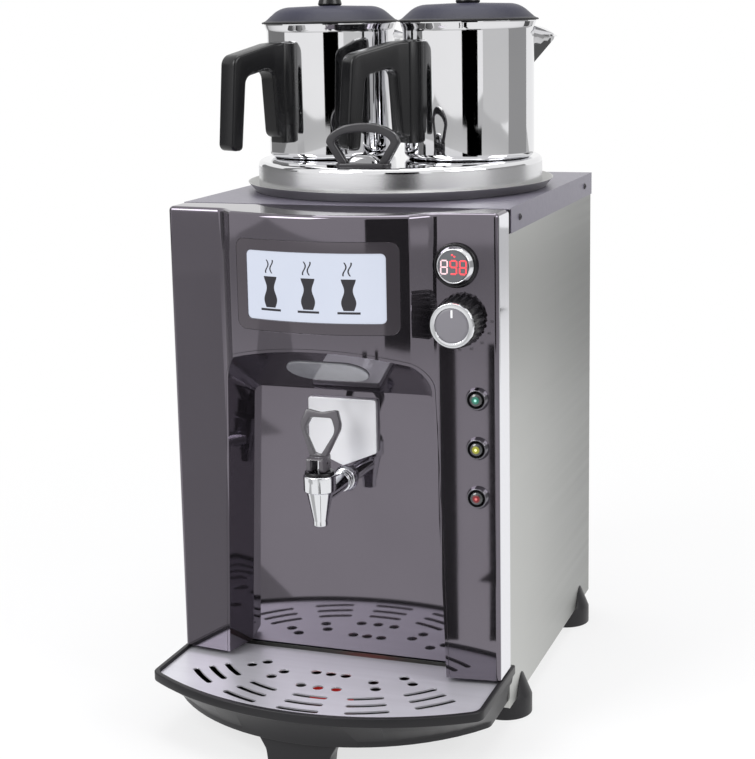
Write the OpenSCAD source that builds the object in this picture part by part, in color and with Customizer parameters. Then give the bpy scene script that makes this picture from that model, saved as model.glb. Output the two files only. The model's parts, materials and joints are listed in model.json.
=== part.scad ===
// Electric tea urn: a steel casing with a bowed front moulding, a heated water tank with a tap over a
// drip tray, and two teapots that keep warm on the tank lid. Millimetres, +Z up, front towards -Y.
// Depths are measured back from the plane of the casing's front corners.

/* [Casing] */
// Room between the tank's insulation and the casing's side
side_room = 6; // [5:0.5:21]
// Room between the tank's insulation and the casing's front and back
back_room = 19.5; // [16.5:0.5:37.5]
// Height of the top cover above the floor
body_top = 525; // [515:1:560]
// Height of the casing's bottom edge above the floor
foot_h = 22; // [18:1:26]
// Thickness of the sheet steel
sheet_t = 1; // [0.8:0.1:1.4]
// Height of the folded flange round the top cover
flange_h = 24.5; // [20:0.5:32]
// Length of side between the front moulding and the cover flange
flange_start = 9; // [6:1:14]

/* [Front moulding] */
// Depth of the moulding's side return
return_d = 37; // [37:1:44]
// How far the middle of the header stands forward
header_reach = 46; // [42:1:52]
// Width of each flank between the header and a wing
flank_w = 16; // [13:0.5:18]
// How far the ends of the header stand forward
step_reach = 27; // [23:1:31]
// Width of each flat wing
wing_w = 62; // [59:1:66]
// How far the flat wings stand forward at the flanks
wing_reach = 7.5; // [5:0.5:9]
// Wall of the moulding
mould_t = 3; // [2.5:0.5:4]
// Height of the moulding's bottom edge
front_bottom = 66; // [64:1:70]

/* [Dispensing niche] */
// Height of the header above the niche
header_h = 131; // [126:1:140]
// Fall of the niche ceiling from front to back
ceiling_drop = 54; // [46:1:62]
// Depth of the niche's back wall
niche_d = 33; // [30:1:33]
// Distance of the niche's top corners inside the foot of the flanks
niche_margin = 2.5; // [1:0.5:5]
// How far the niche widens at each side down to the tray
niche_spread = 11.5; // [8.5:0.5:14.5]
// How far each side draws in towards the back
niche_draft = 9; // [6:0.5:11]
// Wall of the niche liner
liner_t = 2.5; // [2:0.5:3]
// Width of the lamp in the niche ceiling
lens_w = 84; // [70:1:96]
// Length of the lamp along the slope of the ceiling
lens_l = 42; // [34:1:46]

/* [Sign] */
// Distance of the sign's frame from the ends of the header
sign_margin = 9; // [6:1:17]
// Height of the sign's frame
sign_h = 88; // [76:1:94]
// Middle of the sign below the top cover
sign_drop = 69; // [64:1:74]
// Border of the frame at each side of the window
border_w = 12; // [9:1:15]
// Border of the frame above and below the window
border_h = 10.5; // [8:0.5:13]

/* [Controls] */
// Middle of the temperature display from the side
display_inset = 41; // [38:1:44]
// Middle of the display below the top cover
display_drop = 49; // [44:1:52]
// Diameter of the display's bezel
display_d = 44; // [38:1:46]
// Middle of the knob from the side
knob_inset = 35.5; // [33:0.5:38]
// Middle of the knob below the top cover
knob_drop = 101; // [98:1:110]
// Diameter of the knob at its foot
knob_d = 50; // [44:1:52]
// Height of the knob
knob_h = 27; // [22:1:32]
// Middle of the signal lamps from the side
lamp_inset = 21; // [19:0.5:26]
// Top signal lamp below the knob
lamp_drop = 76; // [66:1:84]
// Distance between signal lamps
lamp_pitch = 48.3; // [36:0.1:54]
// Diameter of a signal lamp's bezel
lamp_d = 23.5; // [18:0.5:25]

/* [Tap] */
// Tap's shank below the front edge of the niche's ceiling
tap_drop = 145; // [132:1:159]
// Distance of the tap's axis from the back wall
tap_reach = 70; // [62:1:78]
// Diameter of the tap's collar
collar_d = 31.5; // [30:0.5:34]
// Height of the collar
collar_h = 16.5; // [15:0.5:20]
// Height of the spout below the collar
spout_h = 35; // [32:1:40]
// Diameter of the spout's outlet
spout_d = 14; // [13:0.5:16]
// Diameter of the shank through the wall
shank_d = 18; // [17:0.5:20]
// Diameter of the rosette on the wall
rosette_d = 27; // [24:0.5:30]
// Width of the lever's loop
loop_w = 39; // [34:1:44]
// Height of the lever's loop above its block
loop_h = 44.5; // [36:0.5:50]
// Lift of the tap's stem at full pull
stem_lift = 5; // [3:0.5:5.5]
// Width of the blank shield above the tap
shield_w = 72; // [60:1:80]
// Height of the shield from its top to its tip
shield_h = 69; // [60:1:74]

/* [Drip tray] */
// How far the tray stands out in front
tray_reach = 127.5; // [120:0.5:134]
// How far the tray's rim stands out beyond the casing's sides
tray_lip = 2; // [1:0.5:4]
// Radius of the tray's bowed front in plan
tray_arc_r = 295; // [280:1:330]
// Width of the tray's rim
rim_w = 5; // [4:0.5:7]
// Height of the rim band
rim_h = 9.5; // [8.5:0.5:12]
// Height of the tray's underside
tray_floor = 29; // [25:1:33]
// Wall of the tray
tray_wall = 3; // [2.5:0.5:4]
// Thickness of the grid
grid_t = 1.5; // [1:0.1:2]
// Width of a slot in the grid
slot_w = 6.5; // [5:0.5:8]
// Diameter of a hole in the grid
hole_d = 11; // [9:0.5:12]
// Rise of the level float
float_rise = 8; // [5:0.5:9]

/* [Tank] */
// Outer radius of the tank
tank_r = 150; // [146:0.5:151]
// Wall of the tank and its lid
tank_t = 1.2; // [1:0.1:1.6]
// Height of the tank's underside
tank_bottom = 112; // [105:1:125]
// Width of the tank's flared lip
lip_w = 14.3; // [12:0.1:17]
// Height of the lip above the top cover
lip_h = 9.7; // [8:0.1:12]
// Height of the lid above the top cover
lid_rise = 32.8; // [28:0.1:38]
// Thickness of the insulation round the tank
jacket_t = 14; // [8:0.5:14]
// Turn of the lid, which sets where its handle stands
lid_turn = 3.5; // [0:0.5:6]
// Width of the lid handle
lid_handle_w = 76; // [68:1:80]
// Height of the lid handle
lid_handle_h = 45; // [40:1:48]

/* [Teapots] */
// Radius of a teapot
pot_r = 69; // [66:0.5:70]
// Height of a teapot to its rim
pot_h = 142.6; // [136:0.2:150]
// Room between the two teapots' lids
pot_room = 7; // [4:0.2:9]
// Distance of the teapots behind the lid handle
pot_back = 139.1; // [136:0.1:145]
// Wall of a teapot
pot_t = 1.2; // [1:0.1:1.6]
// How far the lid's rim stands out beyond the teapot's wall
pot_lid_lip = 4.9; // [4:0.1:5.5]
// Height of the lid's dome
dome_h = 18.2; // [15:0.2:28]
// Height of the lid's knob
pot_knob_h = 31.5; // [20:0.5:36]
// Reach of the handle's foot from the teapot's middle
handle_reach = 154.5; // [146:0.5:158]
// How far the grip leans out towards its foot
grip_lean = 7.5; // [3:0.5:10]
// Width of the handle
handle_w = 22; // [20:1:27]
// Turn of the left teapot's handle from straight ahead
left_turn = 25; // [15:0.5:40]
// Turn of the right teapot's handle from straight ahead
right_turn = 40; // [36:0.5:43]
// Reach of the spout beyond the teapot's wall
beak_reach = 43; // [36:1:52]

/* [Feet] */
// Radius of a foot at the floor
foot_r = 28.5; // [26:0.5:31]
// Middle of a foot from the casing's side
foot_inset = 19; // [17:0.5:21]
// Depth of the front feet
foot_front = 83; // [76:1:96]
// Distance of the rear feet from the back
foot_back = 51; // [44:1:64]

/* [Hidden] */

$fn = 96;
fillet_n = 6;
slice = 0.1;
cut = 1;
seat_gap = 0.3;
run_gap = 0.05;
press_gap = 0.02;

painted = "#77737f";
steel = "#b4b6b3";
chrome = "#d8dade";
moulding = "#57535b";
black = "#2b2a2d";
charcoal = "#3b393f";
navy = "#3e3c58";

// Places that several pieces share
gland_reach = 14;
body_w = 2 * (tank_r + jacket_t + side_room);
body_d = return_d + 2 * (tank_r + jacket_t + back_room);
wing_half = body_w / 2 - wing_w;
header_half = wing_half - flank_w;
niche_half_top = wing_half - niche_margin;
niche_half_bottom = niche_half_top + niche_spread;
sign_w = 2 * (header_half - sign_margin);
tap_z = body_top - header_h - tap_drop;
lip_r = tank_r + lip_w;
pot_lid_r = pot_r + pot_lid_lip;
pot_x = pot_lid_r + pot_room / 2;
front_y = (tray_reach - body_d - gland_reach) / 2;
function fy(depth) = front_y + depth;
half_w = body_w / 2;
side_x = half_w - sheet_t;
inner_x = side_x - sheet_t;
cover_z = body_top - sheet_t;
flange_z = body_top - flange_h;
tank_y = fy((return_d + body_d) / 2);
ledge_z = body_top + 0.5;
lid_top = body_top + lid_rise;
lid_inset = 11.7;
lid_r = lip_r - lid_inset;
lamp_hole_d = lamp_d - 6;
display_x = half_w - display_inset;
display_z = body_top - display_drop;
knob_x = half_w - knob_inset;
knob_z = body_top - knob_drop;
lamp_x = half_w - lamp_inset;
sign_z = body_top - sign_drop;
tap_y = fy(niche_d - tap_reach);
screw_depths = [flange_start + return_d + 32, body_d - 38];
screw_d = 7;
screw_head = 2;
shank = 3;
shank_l = 7;
screw_z = body_top - flange_h / 2;
back_margin = 10;
back_screws = [
    for (x = [-1, 1], z = [flange_z - back_margin, foot_h + 2 * back_margin])
        [x * (side_x - back_margin), z]];

// Outlines with rounded corners
function fillet(a, b, c, r) =
    let (
        u = (a - b) / norm(a - b),
        v = (c - b) / norm(c - b),
        half = acos(u * v) / 2,
        mid = b + (u + v) / norm(u + v) * r / sin(half),
        p = b + u * r / tan(half) - mid,
        q = b + v * r / tan(half) - mid,
        start = atan2(p.y, p.x),
        turn = atan2(p.x * q.y - p.y * q.x, p * q)
    )
    [for (i = [0 : fillet_n]) mid + r * [cos(start + turn * i / fillet_n), sin(start + turn * i / fillet_n)]];

function round_path(p, r) =
    let (n = len(p))
    [for (i = [0 : n - 1]) each r[i] > 0 ? fillet(p[(i + n - 1) % n], p[i], p[(i + 1) % n], r[i]) : [p[i]]];

function mirror_tail(p) = [for (i = [len(p) - 1 : -1 : 1]) [-p[i].x, p[i].y]];

function reverse_tail(p) = [for (i = [len(p) - 1 : -1 : 1]) p[i]];

function edge_normal(a, b) = let (d = (b - a) / norm(b - a)) [d.y, -d.x];

function inset(p, t) =
    let (n = len(p))
    [for (i = [0 : n - 1])
        let (
            before = edge_normal(p[(i + n - 1) % n], p[i]),
            after = edge_normal(p[i], p[(i + 1) % n])
        )
        p[i] - t * (before + after) / (1 + before * after)];

// Extrusion of a front-view profile between two Y values
module slab(y0, y1) {
    translate([0, y1, 0]) rotate([90, 0, 0]) linear_extrude(y1 - y0) children();
}

// Extrusion of a side-view profile, drawn in Y and Z, between two X values
module side_slab(x0, x1) {
    translate([x0, 0, 0]) rotate([90, 0, 90]) linear_extrude(x1 - x0) children();
}

module rod_y(x, z, y0, y1, d) {
    translate([x, y0, z]) rotate([-90, 0, 0]) cylinder(d = d, h = y1 - y0);
}

module cone_y(x, z, y0, y1, d0, d1) {
    translate([x, y0, z]) rotate([-90, 0, 0]) cylinder(d1 = d0, d2 = d1, h = y1 - y0);
}

module rod_z(x, y, z0, z1, d) {
    translate([x, y, z0]) cylinder(d = d, h = z1 - z0);
}

module block(low, high) {
    translate(low) cube(high - low);
}

module rounded_rect(w, h, r) {
    square([w - 2 * r, h], center = true);
    square([w, h - 2 * r], center = true);
    for (x = [-1, 1], y = [-1, 1]) translate([x * (w / 2 - r), y * (h / 2 - r)]) circle(r);
}

module stadium(w, h) {
    square([w - h, h], center = true);
    for (x = [-1, 1]) translate([x * (w - h) / 2, 0]) circle(d = h);
}

module both_sides() {
    children();
    mirror([1, 0, 0]) children();
}

// A screw with its head seated at the origin
module screw() {
    cylinder(d1 = screw_d, d2 = screw_d - 2, h = screw_head);
    translate([0, 0, -shank_l]) cylinder(d = shank, h = shank_l + cut);
}

module side_screw_holes() {
    for (depth = screw_depths)
        translate([half_w - shank_l, fy(depth), screw_z]) rotate([0, 90, 0])
            cylinder(d = shank + 2 * seat_gap, h = 2 * shank_l);
}

module back_screw_holes() {
    for (place = back_screws)
        rod_y(place.x, place.y, fy(body_d) - shank_l, fy(body_d) + cut, shank + 2 * seat_gap);
}

// Casing
kick_depth = return_d + 1;
kick_top = front_bottom - 4;
pan_flange = 12;
tab_w = 30;
tab_h = 5;
tab_inset = 70;
tab_x = half_w - tab_inset;
tab_z = tray_floor + 8;
tab_l = 12;
gland_inset = 70;
gland_x = half_w - gland_inset;
gland_rise = 50;
gland_z = foot_h + gland_rise;
gland_hole = 20;

module base_plate() {
    color(steel) difference() {
        union() {
            block([-inner_x, fy(kick_depth), foot_h], [inner_x, fy(body_d - 2 * sheet_t), foot_h + sheet_t]);
            block([-inner_x, fy(kick_depth), foot_h], [inner_x, fy(kick_depth + sheet_t), kick_top]);
            both_sides()
                block([inner_x - sheet_t, fy(kick_depth), foot_h],
                    [inner_x, fy(body_d - 2 * sheet_t), foot_h + pan_flange]);
        }
        both_sides()
            block([tab_x - tab_w / 2 - seat_gap, fy(kick_depth) - cut, tab_z - seat_gap],
                [tab_x + tab_w / 2 + seat_gap, fy(kick_depth + sheet_t) + cut, tab_z + tab_h + seat_gap]);
    }
}

rear_lip = 14;
notch_z = flange_z;

// A side of brushed steel with a folded rear edge, cut back at its top front corner
module side_panel() {
    difference() {
        union() {
            block([inner_x, fy(return_d) + seat_gap, foot_h], [side_x, fy(body_d - 2 * sheet_t), cover_z]);
            block([side_x - rear_lip, fy(body_d - 3 * sheet_t), foot_h + pan_flange + cut],
                [side_x, fy(body_d - 2 * sheet_t), cover_z]);
        }
        block([inner_x - cut, fy(return_d) - cut, notch_z],
            [side_x + cut, fy(return_d + flange_start), body_top]);
        side_screw_holes();
        back_screw_holes();
    }
}

module right_side_panel() {
    color(steel) side_panel();
}

module left_side_panel() {
    color(steel) mirror([1, 0, 0]) side_panel();
}

vent_w = 70;
vent_h = 5;
vent_pitch = 14;
vent_rows = 7;
vent_x = 62;
vent_z = 330;

module back_panel() {
    color(steel) difference() {
        slab(fy(body_d - 2 * sheet_t), fy(body_d - sheet_t))
            translate([0, (foot_h + cover_z) / 2]) square([2 * side_x, cover_z - foot_h], center = true);
        for (row = [0 : vent_rows - 1], side = [-1, 1])
            slab(fy(body_d - 2 * sheet_t) - cut, fy(body_d - sheet_t) + cut)
                translate([side * vent_x, vent_z + row * vent_pitch]) stadium(vent_w, vent_h);
        rod_y(gland_x, gland_z, fy(body_d) - 5 * sheet_t, fy(body_d) + cut, gland_hole + seat_gap);
        back_screw_holes();
    }
}

module top_cover() {
    color(painted) difference() {
        union() {
            block([-half_w, fy(return_d) + seat_gap, cover_z], [half_w, fy(body_d), body_top]);
            both_sides()
                block([side_x, fy(return_d + flange_start), flange_z], [half_w, fy(body_d), body_top]);
            block([-half_w, fy(body_d - sheet_t), flange_z], [half_w, fy(body_d), body_top]);
        }
        rod_z(0, tank_y, cover_z - cut, body_top + cut, 2 * (tank_r + sheet_t));
        both_sides() side_screw_holes();
    }
}

module case_screws() {
    color(black) {
        for (depth = screw_depths)
            both_sides() translate([half_w, fy(depth), screw_z]) rotate([0, 90, 0]) screw();
        for (place = back_screws)
            translate([place.x, fy(body_d - sheet_t), place.y]) rotate([-90, 0, 0]) screw();
    }
}

foot_x = half_w - foot_inset;
foot_straight = 18;
foot_arch = 44;
foot_recess = 18;

// A turned foot whose outer side laps up over the casing's bottom edge
module foot(side, depth) {
    color(black) difference() {
        translate([side * foot_x, fy(depth), 0]) rotate_extrude() polygon([
            [0, 0], [foot_r, 0], [foot_r, foot_straight], [foot_inset - sheet_t, foot_arch], [0, foot_arch]]);
        block([-side_x - seat_gap, fy(depth) - 2 * foot_r, foot_h],
            [side_x + seat_gap, fy(depth) + 2 * foot_r, foot_arch + cut]);
        rod_z(side * foot_x, fy(depth), -cut, foot_h / 4, foot_recess);
    }
}

module front_left_foot() {
    foot(-1, foot_front);
}

module front_right_foot() {
    foot(1, foot_front);
}

module rear_left_foot() {
    foot(-1, body_d - foot_back);
}

module rear_right_foot() {
    foot(1, body_d - foot_back);
}

// Front moulding, seen in plan: flat wings, sloping flanks and a bowed header
bow_n = 20;
bow_sag = header_reach - step_reach;
bow_r = (header_half * header_half + bow_sag * bow_sag) / (2 * bow_sag);
bow_y = fy(-header_reach) + bow_r;
step_r = 5;
root_r = 14;
corner_r = 5;
front_half = concat(
    [for (i = [0 : bow_n]) let (x = header_half * i / bow_n) [x, bow_y - sqrt(bow_r * bow_r - x * x)]],
    [[wing_half, fy(-wing_reach)], [half_w, fy(0)], [half_w, fy(return_d)]]);
front_half_r = concat([for (i = [0 : bow_n - 1]) 0], [step_r, root_r, corner_r, 0]);
front_outline = round_path(
    concat(mirror_tail(front_half), front_half),
    concat(reverse_tail(front_half_r), front_half_r));

function wing_depth(x) = wing_reach * (half_w - x) / (half_w - wing_half);

module front_mass(z0, z1) {
    translate([0, 0, z0]) linear_extrude(z1 - z0) polygon(front_outline);
}

// The niche narrows towards its back wall, under a ceiling that falls
niche_top = body_top - header_h;
niche_front = header_reach + 12;
niche_floor = front_bottom - 8;
niche_corner_r = 26;
niche_back_r = 9;
ceiling_slope = ceiling_drop / (niche_d + header_reach);

function ceiling_z(depth) = niche_top - ceiling_slope * (depth + header_reach);

function drawn_in(depth) = niche_draft * (depth + wing_reach) / (niche_d + wing_reach);

function niche_section(depth, r, grow) =
    let (
        low = niche_half_bottom - drawn_in(depth) + grow,
        high = niche_half_top - drawn_in(depth) + grow,
        top = ceiling_z(depth) + grow
    )
    round_path([[-low, niche_floor], [low, niche_floor], [high, top], [-high, top]], [0, 0, r, r]);

module niche_void(grow) {
    hull() {
        slab(fy(-niche_front), fy(-niche_front) + slice)
            polygon(niche_section(-niche_front, niche_corner_r, grow));
        slab(fy(niche_d + grow) - slice, fy(niche_d + grow))
            polygon(niche_section(niche_d, niche_back_r, grow));
    }
}

tongue_t = 2;
tongue_x = inner_x - seat_gap;
tongue_l = flange_start + 8;
sign_r = 9;
bush_d = 10;
display_barrel = display_d - 3;

module sign_prism(w, h, r) {
    slab(fy(-header_reach) - cut, fy(-wing_reach)) translate([0, sign_z]) rounded_rect(w, h, r);
}

module front_panel() {
    color(moulding) {
        difference() {
            front_mass(front_bottom, body_top);
            translate([0, 0, front_bottom + mould_t]) linear_extrude(body_top - front_bottom - 2 * mould_t) {
                polygon(inset(front_outline, mould_t));
                translate([-half_w + mould_t, fy(return_d) - 2 * mould_t])
                    square([body_w - 2 * mould_t, 2 * mould_t + cut]);
            }
            niche_void(liner_t + seat_gap);
            block([-niche_half_top, fy(niche_d - liner_t), niche_floor],
                [niche_half_top, fy(return_d) + cut, front_bottom + mould_t + cut]);
            sign_prism(sign_w + 2 * seat_gap, sign_h + 2 * seat_gap, sign_r + seat_gap);
            rod_y(display_x, display_z, fy(-header_reach), fy(return_d), display_barrel + 2 * seat_gap);
            rod_y(knob_x, knob_z, fy(-header_reach), fy(return_d), bush_d + 2 * seat_gap);
            for (i = [0 : 2])
                rod_y(lamp_x, knob_z - lamp_drop - i * lamp_pitch, fy(-header_reach), fy(return_d),
                    lamp_hole_d + 2 * seat_gap);
        }
        both_sides()
            block([tongue_x - tongue_t, fy(return_d) - 2 * mould_t, front_bottom + 2 * mould_t],
                [tongue_x, fy(return_d) + tongue_l, cover_z - 2 * mould_t]);
    }
}

lens_depth = -9;
lens_tilt = atan(ceiling_slope);
lens_proud = 1.5;
lens_back = 9;

module at_ceiling() {
    translate([0, fy(lens_depth), ceiling_z(lens_depth)]) rotate([-lens_tilt, 0, 0]) children();
}

module niche_liner() {
    color(moulding) difference() {
        intersection() {
            front_mass(front_bottom, body_top);
            niche_void(liner_t);
        }
        niche_void(0);
        at_ceiling() translate([0, 0, -3 * liner_t]) linear_extrude(8 * liner_t)
            stadium(lens_w + 2 * seat_gap, lens_l + 2 * seat_gap);
        rod_y(0, tap_z, fy(niche_d) - cut, fy(niche_d + liner_t) + cut, shank_d + 2 * seat_gap);
    }
}

module niche_lamp() {
    color(chrome) at_ceiling() {
        translate([0, 0, -lens_proud]) linear_extrude(lens_proud + lens_back) stadium(lens_w, lens_l);
    }
}

// Lit sign, a curved frame and window flush with the header
frame_t = 4;
window_w = sign_w - 2 * border_w;
window_h = sign_h - 2 * border_h;
window_r = 5;
window_sunk = 0.8;
window_t = 2;
board_w = sign_w - border_w;
board_h = sign_h - border_h;
board_t = 1.6;
board_y = bow_y - sqrt(pow(bow_r - frame_t, 2) - pow(board_w / 2, 2)) + seat_gap;
led_d = 5;
led_pitch = 24;

module bow_shell(outer, inner) {
    translate([0, bow_y, 0]) difference() {
        cylinder(r = outer, h = body_top);
        translate([0, 0, -cut]) cylinder(r = inner, h = body_top + 2 * cut);
    }
}

module sign_frame() {
    color(moulding) intersection() {
        bow_shell(bow_r, bow_r - frame_t);
        difference() {
            sign_prism(sign_w, sign_h, sign_r);
            sign_prism(window_w, window_h, window_r);
        }
    }
}

module sign_window() {
    color("white") intersection() {
        bow_shell(bow_r - window_sunk, bow_r - window_sunk - window_t);
        sign_prism(window_w - 2 * seat_gap, window_h - 2 * seat_gap, window_r - seat_gap);
    }
}

module sign_light_board() {
    color("white") {
        slab(board_y, board_y + board_t) translate([0, sign_z]) square([board_w, board_h], center = true);
        for (x = [-2.5 : 2.5], z = [-1, 0, 1])
            rod_y(x * led_pitch, sign_z + z * led_pitch, board_y - led_d / 2, board_y, led_d);
    }
}

// Round temperature display: a black bezel round a bright ring that stands out, with the face in its front
bezel_rise = 3;
ring_rise = 4.5;
display_proud = wing_depth(display_x) + bezel_rise;
ring_proud = display_proud + ring_rise;
display_bore = display_d - 6.5;
ring_front_d = display_bore - 5;
display_face = ring_front_d - 2;
face_sunk = 0.8;
display_back = 28;

module display_bezel() {
    color(black) difference() {
        union() {
            difference() {
                cone_y(display_x, display_z, fy(-display_proud), fy(0), display_d - 2, display_d);
                front_mass(front_bottom, body_top);
            }
            rod_y(display_x, display_z, fy(-display_proud), fy(mould_t) + display_back / 2, display_barrel);
        }
        rod_y(display_x, display_z, fy(-display_proud) - cut, fy(display_back), display_bore);
    }
}

module display_ring() {
    outside = display_bore - 2 * press_gap;
    color(chrome) difference() {
        union() {
            cone_y(display_x, display_z, fy(-ring_proud), fy(-display_proud), ring_front_d, outside);
            rod_y(display_x, display_z, fy(-display_proud), fy(mould_t), outside);
        }
        rod_y(display_x, display_z, fy(-ring_proud) - cut, fy(mould_t) + cut, display_face);
    }
}

module display_module() {
    color(charcoal) {
        rod_y(display_x, display_z, fy(-ring_proud) + face_sunk, fy(display_back),
            display_face - 2 * seat_gap);
        rod_y(display_x, display_z, fy(mould_t) + display_back / 2, fy(display_back) + mould_t,
            display_barrel);
    }
}

// Signal lamps: a lens that stands out of a hollow bezel
lamp_rise = 5;
lamp_proud = wing_depth(lamp_x) + lamp_rise;
lamp_front_d = lamp_d - 4.5;
lamp_hollow_d = lamp_front_d - 2;
lamp_hollow = 4;
lamp_lens = lamp_d - 11;
lens_rise = 2;
lamp_barrel = 12;

function lamp_z(i) = knob_z - lamp_drop - i * lamp_pitch;

module lamp_bezels() {
    color(chrome) for (i = [0 : 2]) difference() {
        union() {
            difference() {
                cone_y(lamp_x, lamp_z(i), fy(-lamp_proud), fy(0), lamp_front_d, lamp_d);
                front_mass(front_bottom, body_top);
            }
            rod_y(lamp_x, lamp_z(i), fy(-lamp_proud), fy(lamp_barrel), lamp_hole_d);
        }
        rod_y(lamp_x, lamp_z(i), fy(-lamp_proud) - cut, fy(lamp_barrel) + cut, lamp_lens);
        cone_y(lamp_x, lamp_z(i), fy(-lamp_proud) - slice, fy(-lamp_proud) + lamp_hollow,
            lamp_hollow_d, lamp_lens);
    }
}

module signal_lamp(i) {
    lens_d = lamp_lens - 2 * press_gap;
    cone_y(lamp_x, lamp_z(i), fy(-lamp_proud) - lens_rise, fy(-lamp_proud), lens_d - 2 * lens_rise, lens_d);
    rod_y(lamp_x, lamp_z(i), fy(-lamp_proud), fy(2 * lamp_barrel), lens_d);
    rod_y(lamp_x, lamp_z(i), fy(lamp_barrel), fy(2 * lamp_barrel), lamp_hole_d);
}

module green_lamp() {
    color("seagreen") signal_lamp(0);
}

module amber_lamp() {
    color("goldenrod") signal_lamp(1);
}

module red_lamp() {
    color("firebrick") signal_lamp(2);
}

// Thermostat behind the panel, with its sensing bulb in the tank, and its knob
shaft_d = 6;
knob_foot = wing_reach + 1;
knob_front = knob_foot + knob_h - 2;
knob_taper = 5;
ring_d = knob_d - 7;
cap_d = ring_d - 10;
ring_t = 2.5;
cap_t = 1.8;
knob_wall = 6;
knob_web = 9;
shaft_stop = 6;
flute_n = 24;
flute_d = 2.4;
thermostat_w = 40;
thermostat_front = 5;
bush_l = 8;
thermostat_back = return_d - 2;
bulb_d = 6;
bulb_in = 40;
bulb_from = [knob_x, fy(thermostat_back)];
bulb_to = [0, tank_y];
bulb_l = norm(bulb_to - bulb_from) - tank_r + bulb_in;
bulb_angle = atan2(bulb_to.y - bulb_from.y, bulb_to.x - bulb_from.x);

module bulb_rod(d) {
    translate([bulb_from.x, bulb_from.y - 1, knob_z]) rotate([0, 90, bulb_angle]) cylinder(d = d, h = bulb_l);
}

module thermostat_body() {
    color(charcoal) difference() {
        union() {
            block([knob_x - thermostat_w / 2, fy(thermostat_front), knob_z - thermostat_w / 2],
                [knob_x + thermostat_w / 2, fy(thermostat_back), knob_z + thermostat_w / 2]);
            rod_y(knob_x, knob_z, fy(-wing_depth(knob_x)), fy(thermostat_front), bush_d);
            bulb_rod(bulb_d);
        }
        rod_y(knob_x, knob_z, fy(-knob_foot), fy(thermostat_front + bush_l), shaft_d + 2 * run_gap);
    }
}

module thermostat_shaft() {
    color(steel) rod_y(knob_x, knob_z, fy(-knob_front + shaft_stop),
        fy(thermostat_front + bush_l - 1), shaft_d);
}

module control_knob() {
    tall = knob_front - knob_foot;
    lean = atan(knob_taper / 2 / tall);
    inside = knob_d / 2 - knob_wall;
    bore_r = shaft_d / 2 + press_gap;
    color(black) translate([knob_x, fy(-knob_front), knob_z]) rotate([-90, 0, 0]) difference() {
        rotate_extrude() polygon([
            [0, 0], [(knob_d - knob_taper) / 2, 0], [knob_d / 2, tall], [inside, tall],
            [inside - 1, knob_web],
            [shaft_d + 1, knob_web], [shaft_d, tall - 1], [bore_r, tall - 1], [bore_r, shaft_stop],
            [0, shaft_stop]]);
        for (i = [0 : flute_n - 1]) rotate([0, 0, i * 360 / flute_n])
            translate([(knob_d - knob_taper) / 2, 0, 0]) rotate([0, lean, 0])
                translate([0, 0, -cut]) cylinder(d = flute_d, h = tall + 4 * cut, $fn = 24);
    }
}

module knob_ring() {
    color(chrome) difference() {
        cone_y(knob_x, knob_z, fy(-knob_front - ring_t), fy(-knob_front), ring_d - 1, ring_d);
        rod_y(knob_x, knob_z, fy(-knob_front - ring_t) - cut, fy(-knob_front) + cut, cap_d + 2 * press_gap);
    }
}

pointer_w = 2;
pointer_l = 9;
pointer_t = 0.4;

module knob_cap() {
    color(painted) difference() {
        rod_y(knob_x, knob_z, fy(-knob_front - cap_t), fy(-knob_front), cap_d);
        slab(fy(-knob_front - ring_t), fy(-knob_front - cap_t + pointer_t))
            translate([knob_x, knob_z + cap_d / 2 - pointer_l / 2 - pointer_w])
                square([pointer_w, pointer_l], center = true);
    }
}

// Tap: spout body with a shank through the wall, stem with its seat cup, and a loop lever
collar_z = tap_z + 7;
collar_top = collar_z + collar_h;
spout_z = collar_z - spout_h;
cone_d = collar_d - 5;
seat_z = tap_z - 7;
chamber_d = spout_d + 2;
outlet_d = spout_d - 4;
shank_end = niche_d + liner_t + 8;
stem_d = 7;
bonnet_h = 3.5;
bonnet_top = collar_top + bonnet_h;
block_d = 18;
block_h = 15;
fork_w = stem_d + 2;
fork_wall = 4;
fork_roof = 2;
block_w = fork_w + 2 * fork_wall;
pin_d = 3;
pin_z = bonnet_top + seat_gap + block_h / 2;
lever_range = 50;
cam_shift = stem_lift / (lever_range * PI / 180);
rosette_t = 5;
shield_rise = 8;
shield_point = 15;
shield_t = 6;
shield_edge = 3.5;
nut_w = 12;
nut_t = 6;

module at_tap() {
    translate([0, tap_y, 0]) children();
}

module tap_shield() {
    tip = collar_z + shield_rise;
    shoulder = tip + shield_point;
    top = tip + shield_h;
    half = shield_w / 2;
    outline = [[0, tip], [half, shoulder], [half, top], [-half, top], [-half, shoulder]];
    color(chrome) difference() {
        slab(fy(niche_d - shield_t), fy(niche_d)) polygon(outline);
        slab(fy(niche_d - shield_t) - cut, fy(niche_d - shield_t + 1)) polygon(inset(outline, shield_edge));
    }
}

module tap_body() {
    color(chrome) difference() {
        union() {
            at_tap() rotate_extrude() polygon([
                [0, spout_z], [spout_d / 2, spout_z], [spout_d / 2, spout_z + 4], [cone_d / 2, collar_z],
                [collar_d / 2, collar_z], [collar_d / 2, collar_top], [0, collar_top]]);
            rod_y(0, tap_z, tap_y, fy(shank_end), shank_d);
            for (ring = [rosette_t, rosette_t + 5])
                rod_y(0, tap_z, fy(niche_d - ring) - 3, fy(niche_d - ring), shank_d + 3);
        }
        at_tap() rotate_extrude() polygon([
            [0, spout_z - cut], [outlet_d / 2, spout_z - cut], [outlet_d / 2, seat_z],
            [chamber_d / 2, seat_z], [chamber_d / 2, collar_z], [collar_d / 2 - 3, collar_z + 3],
            [collar_d / 2 - 3, collar_top + cut],
            [0, collar_top + cut]]);
        rod_y(0, tap_z, tap_y, fy(shank_end) + cut, chamber_d / 2);
    }
}

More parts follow.
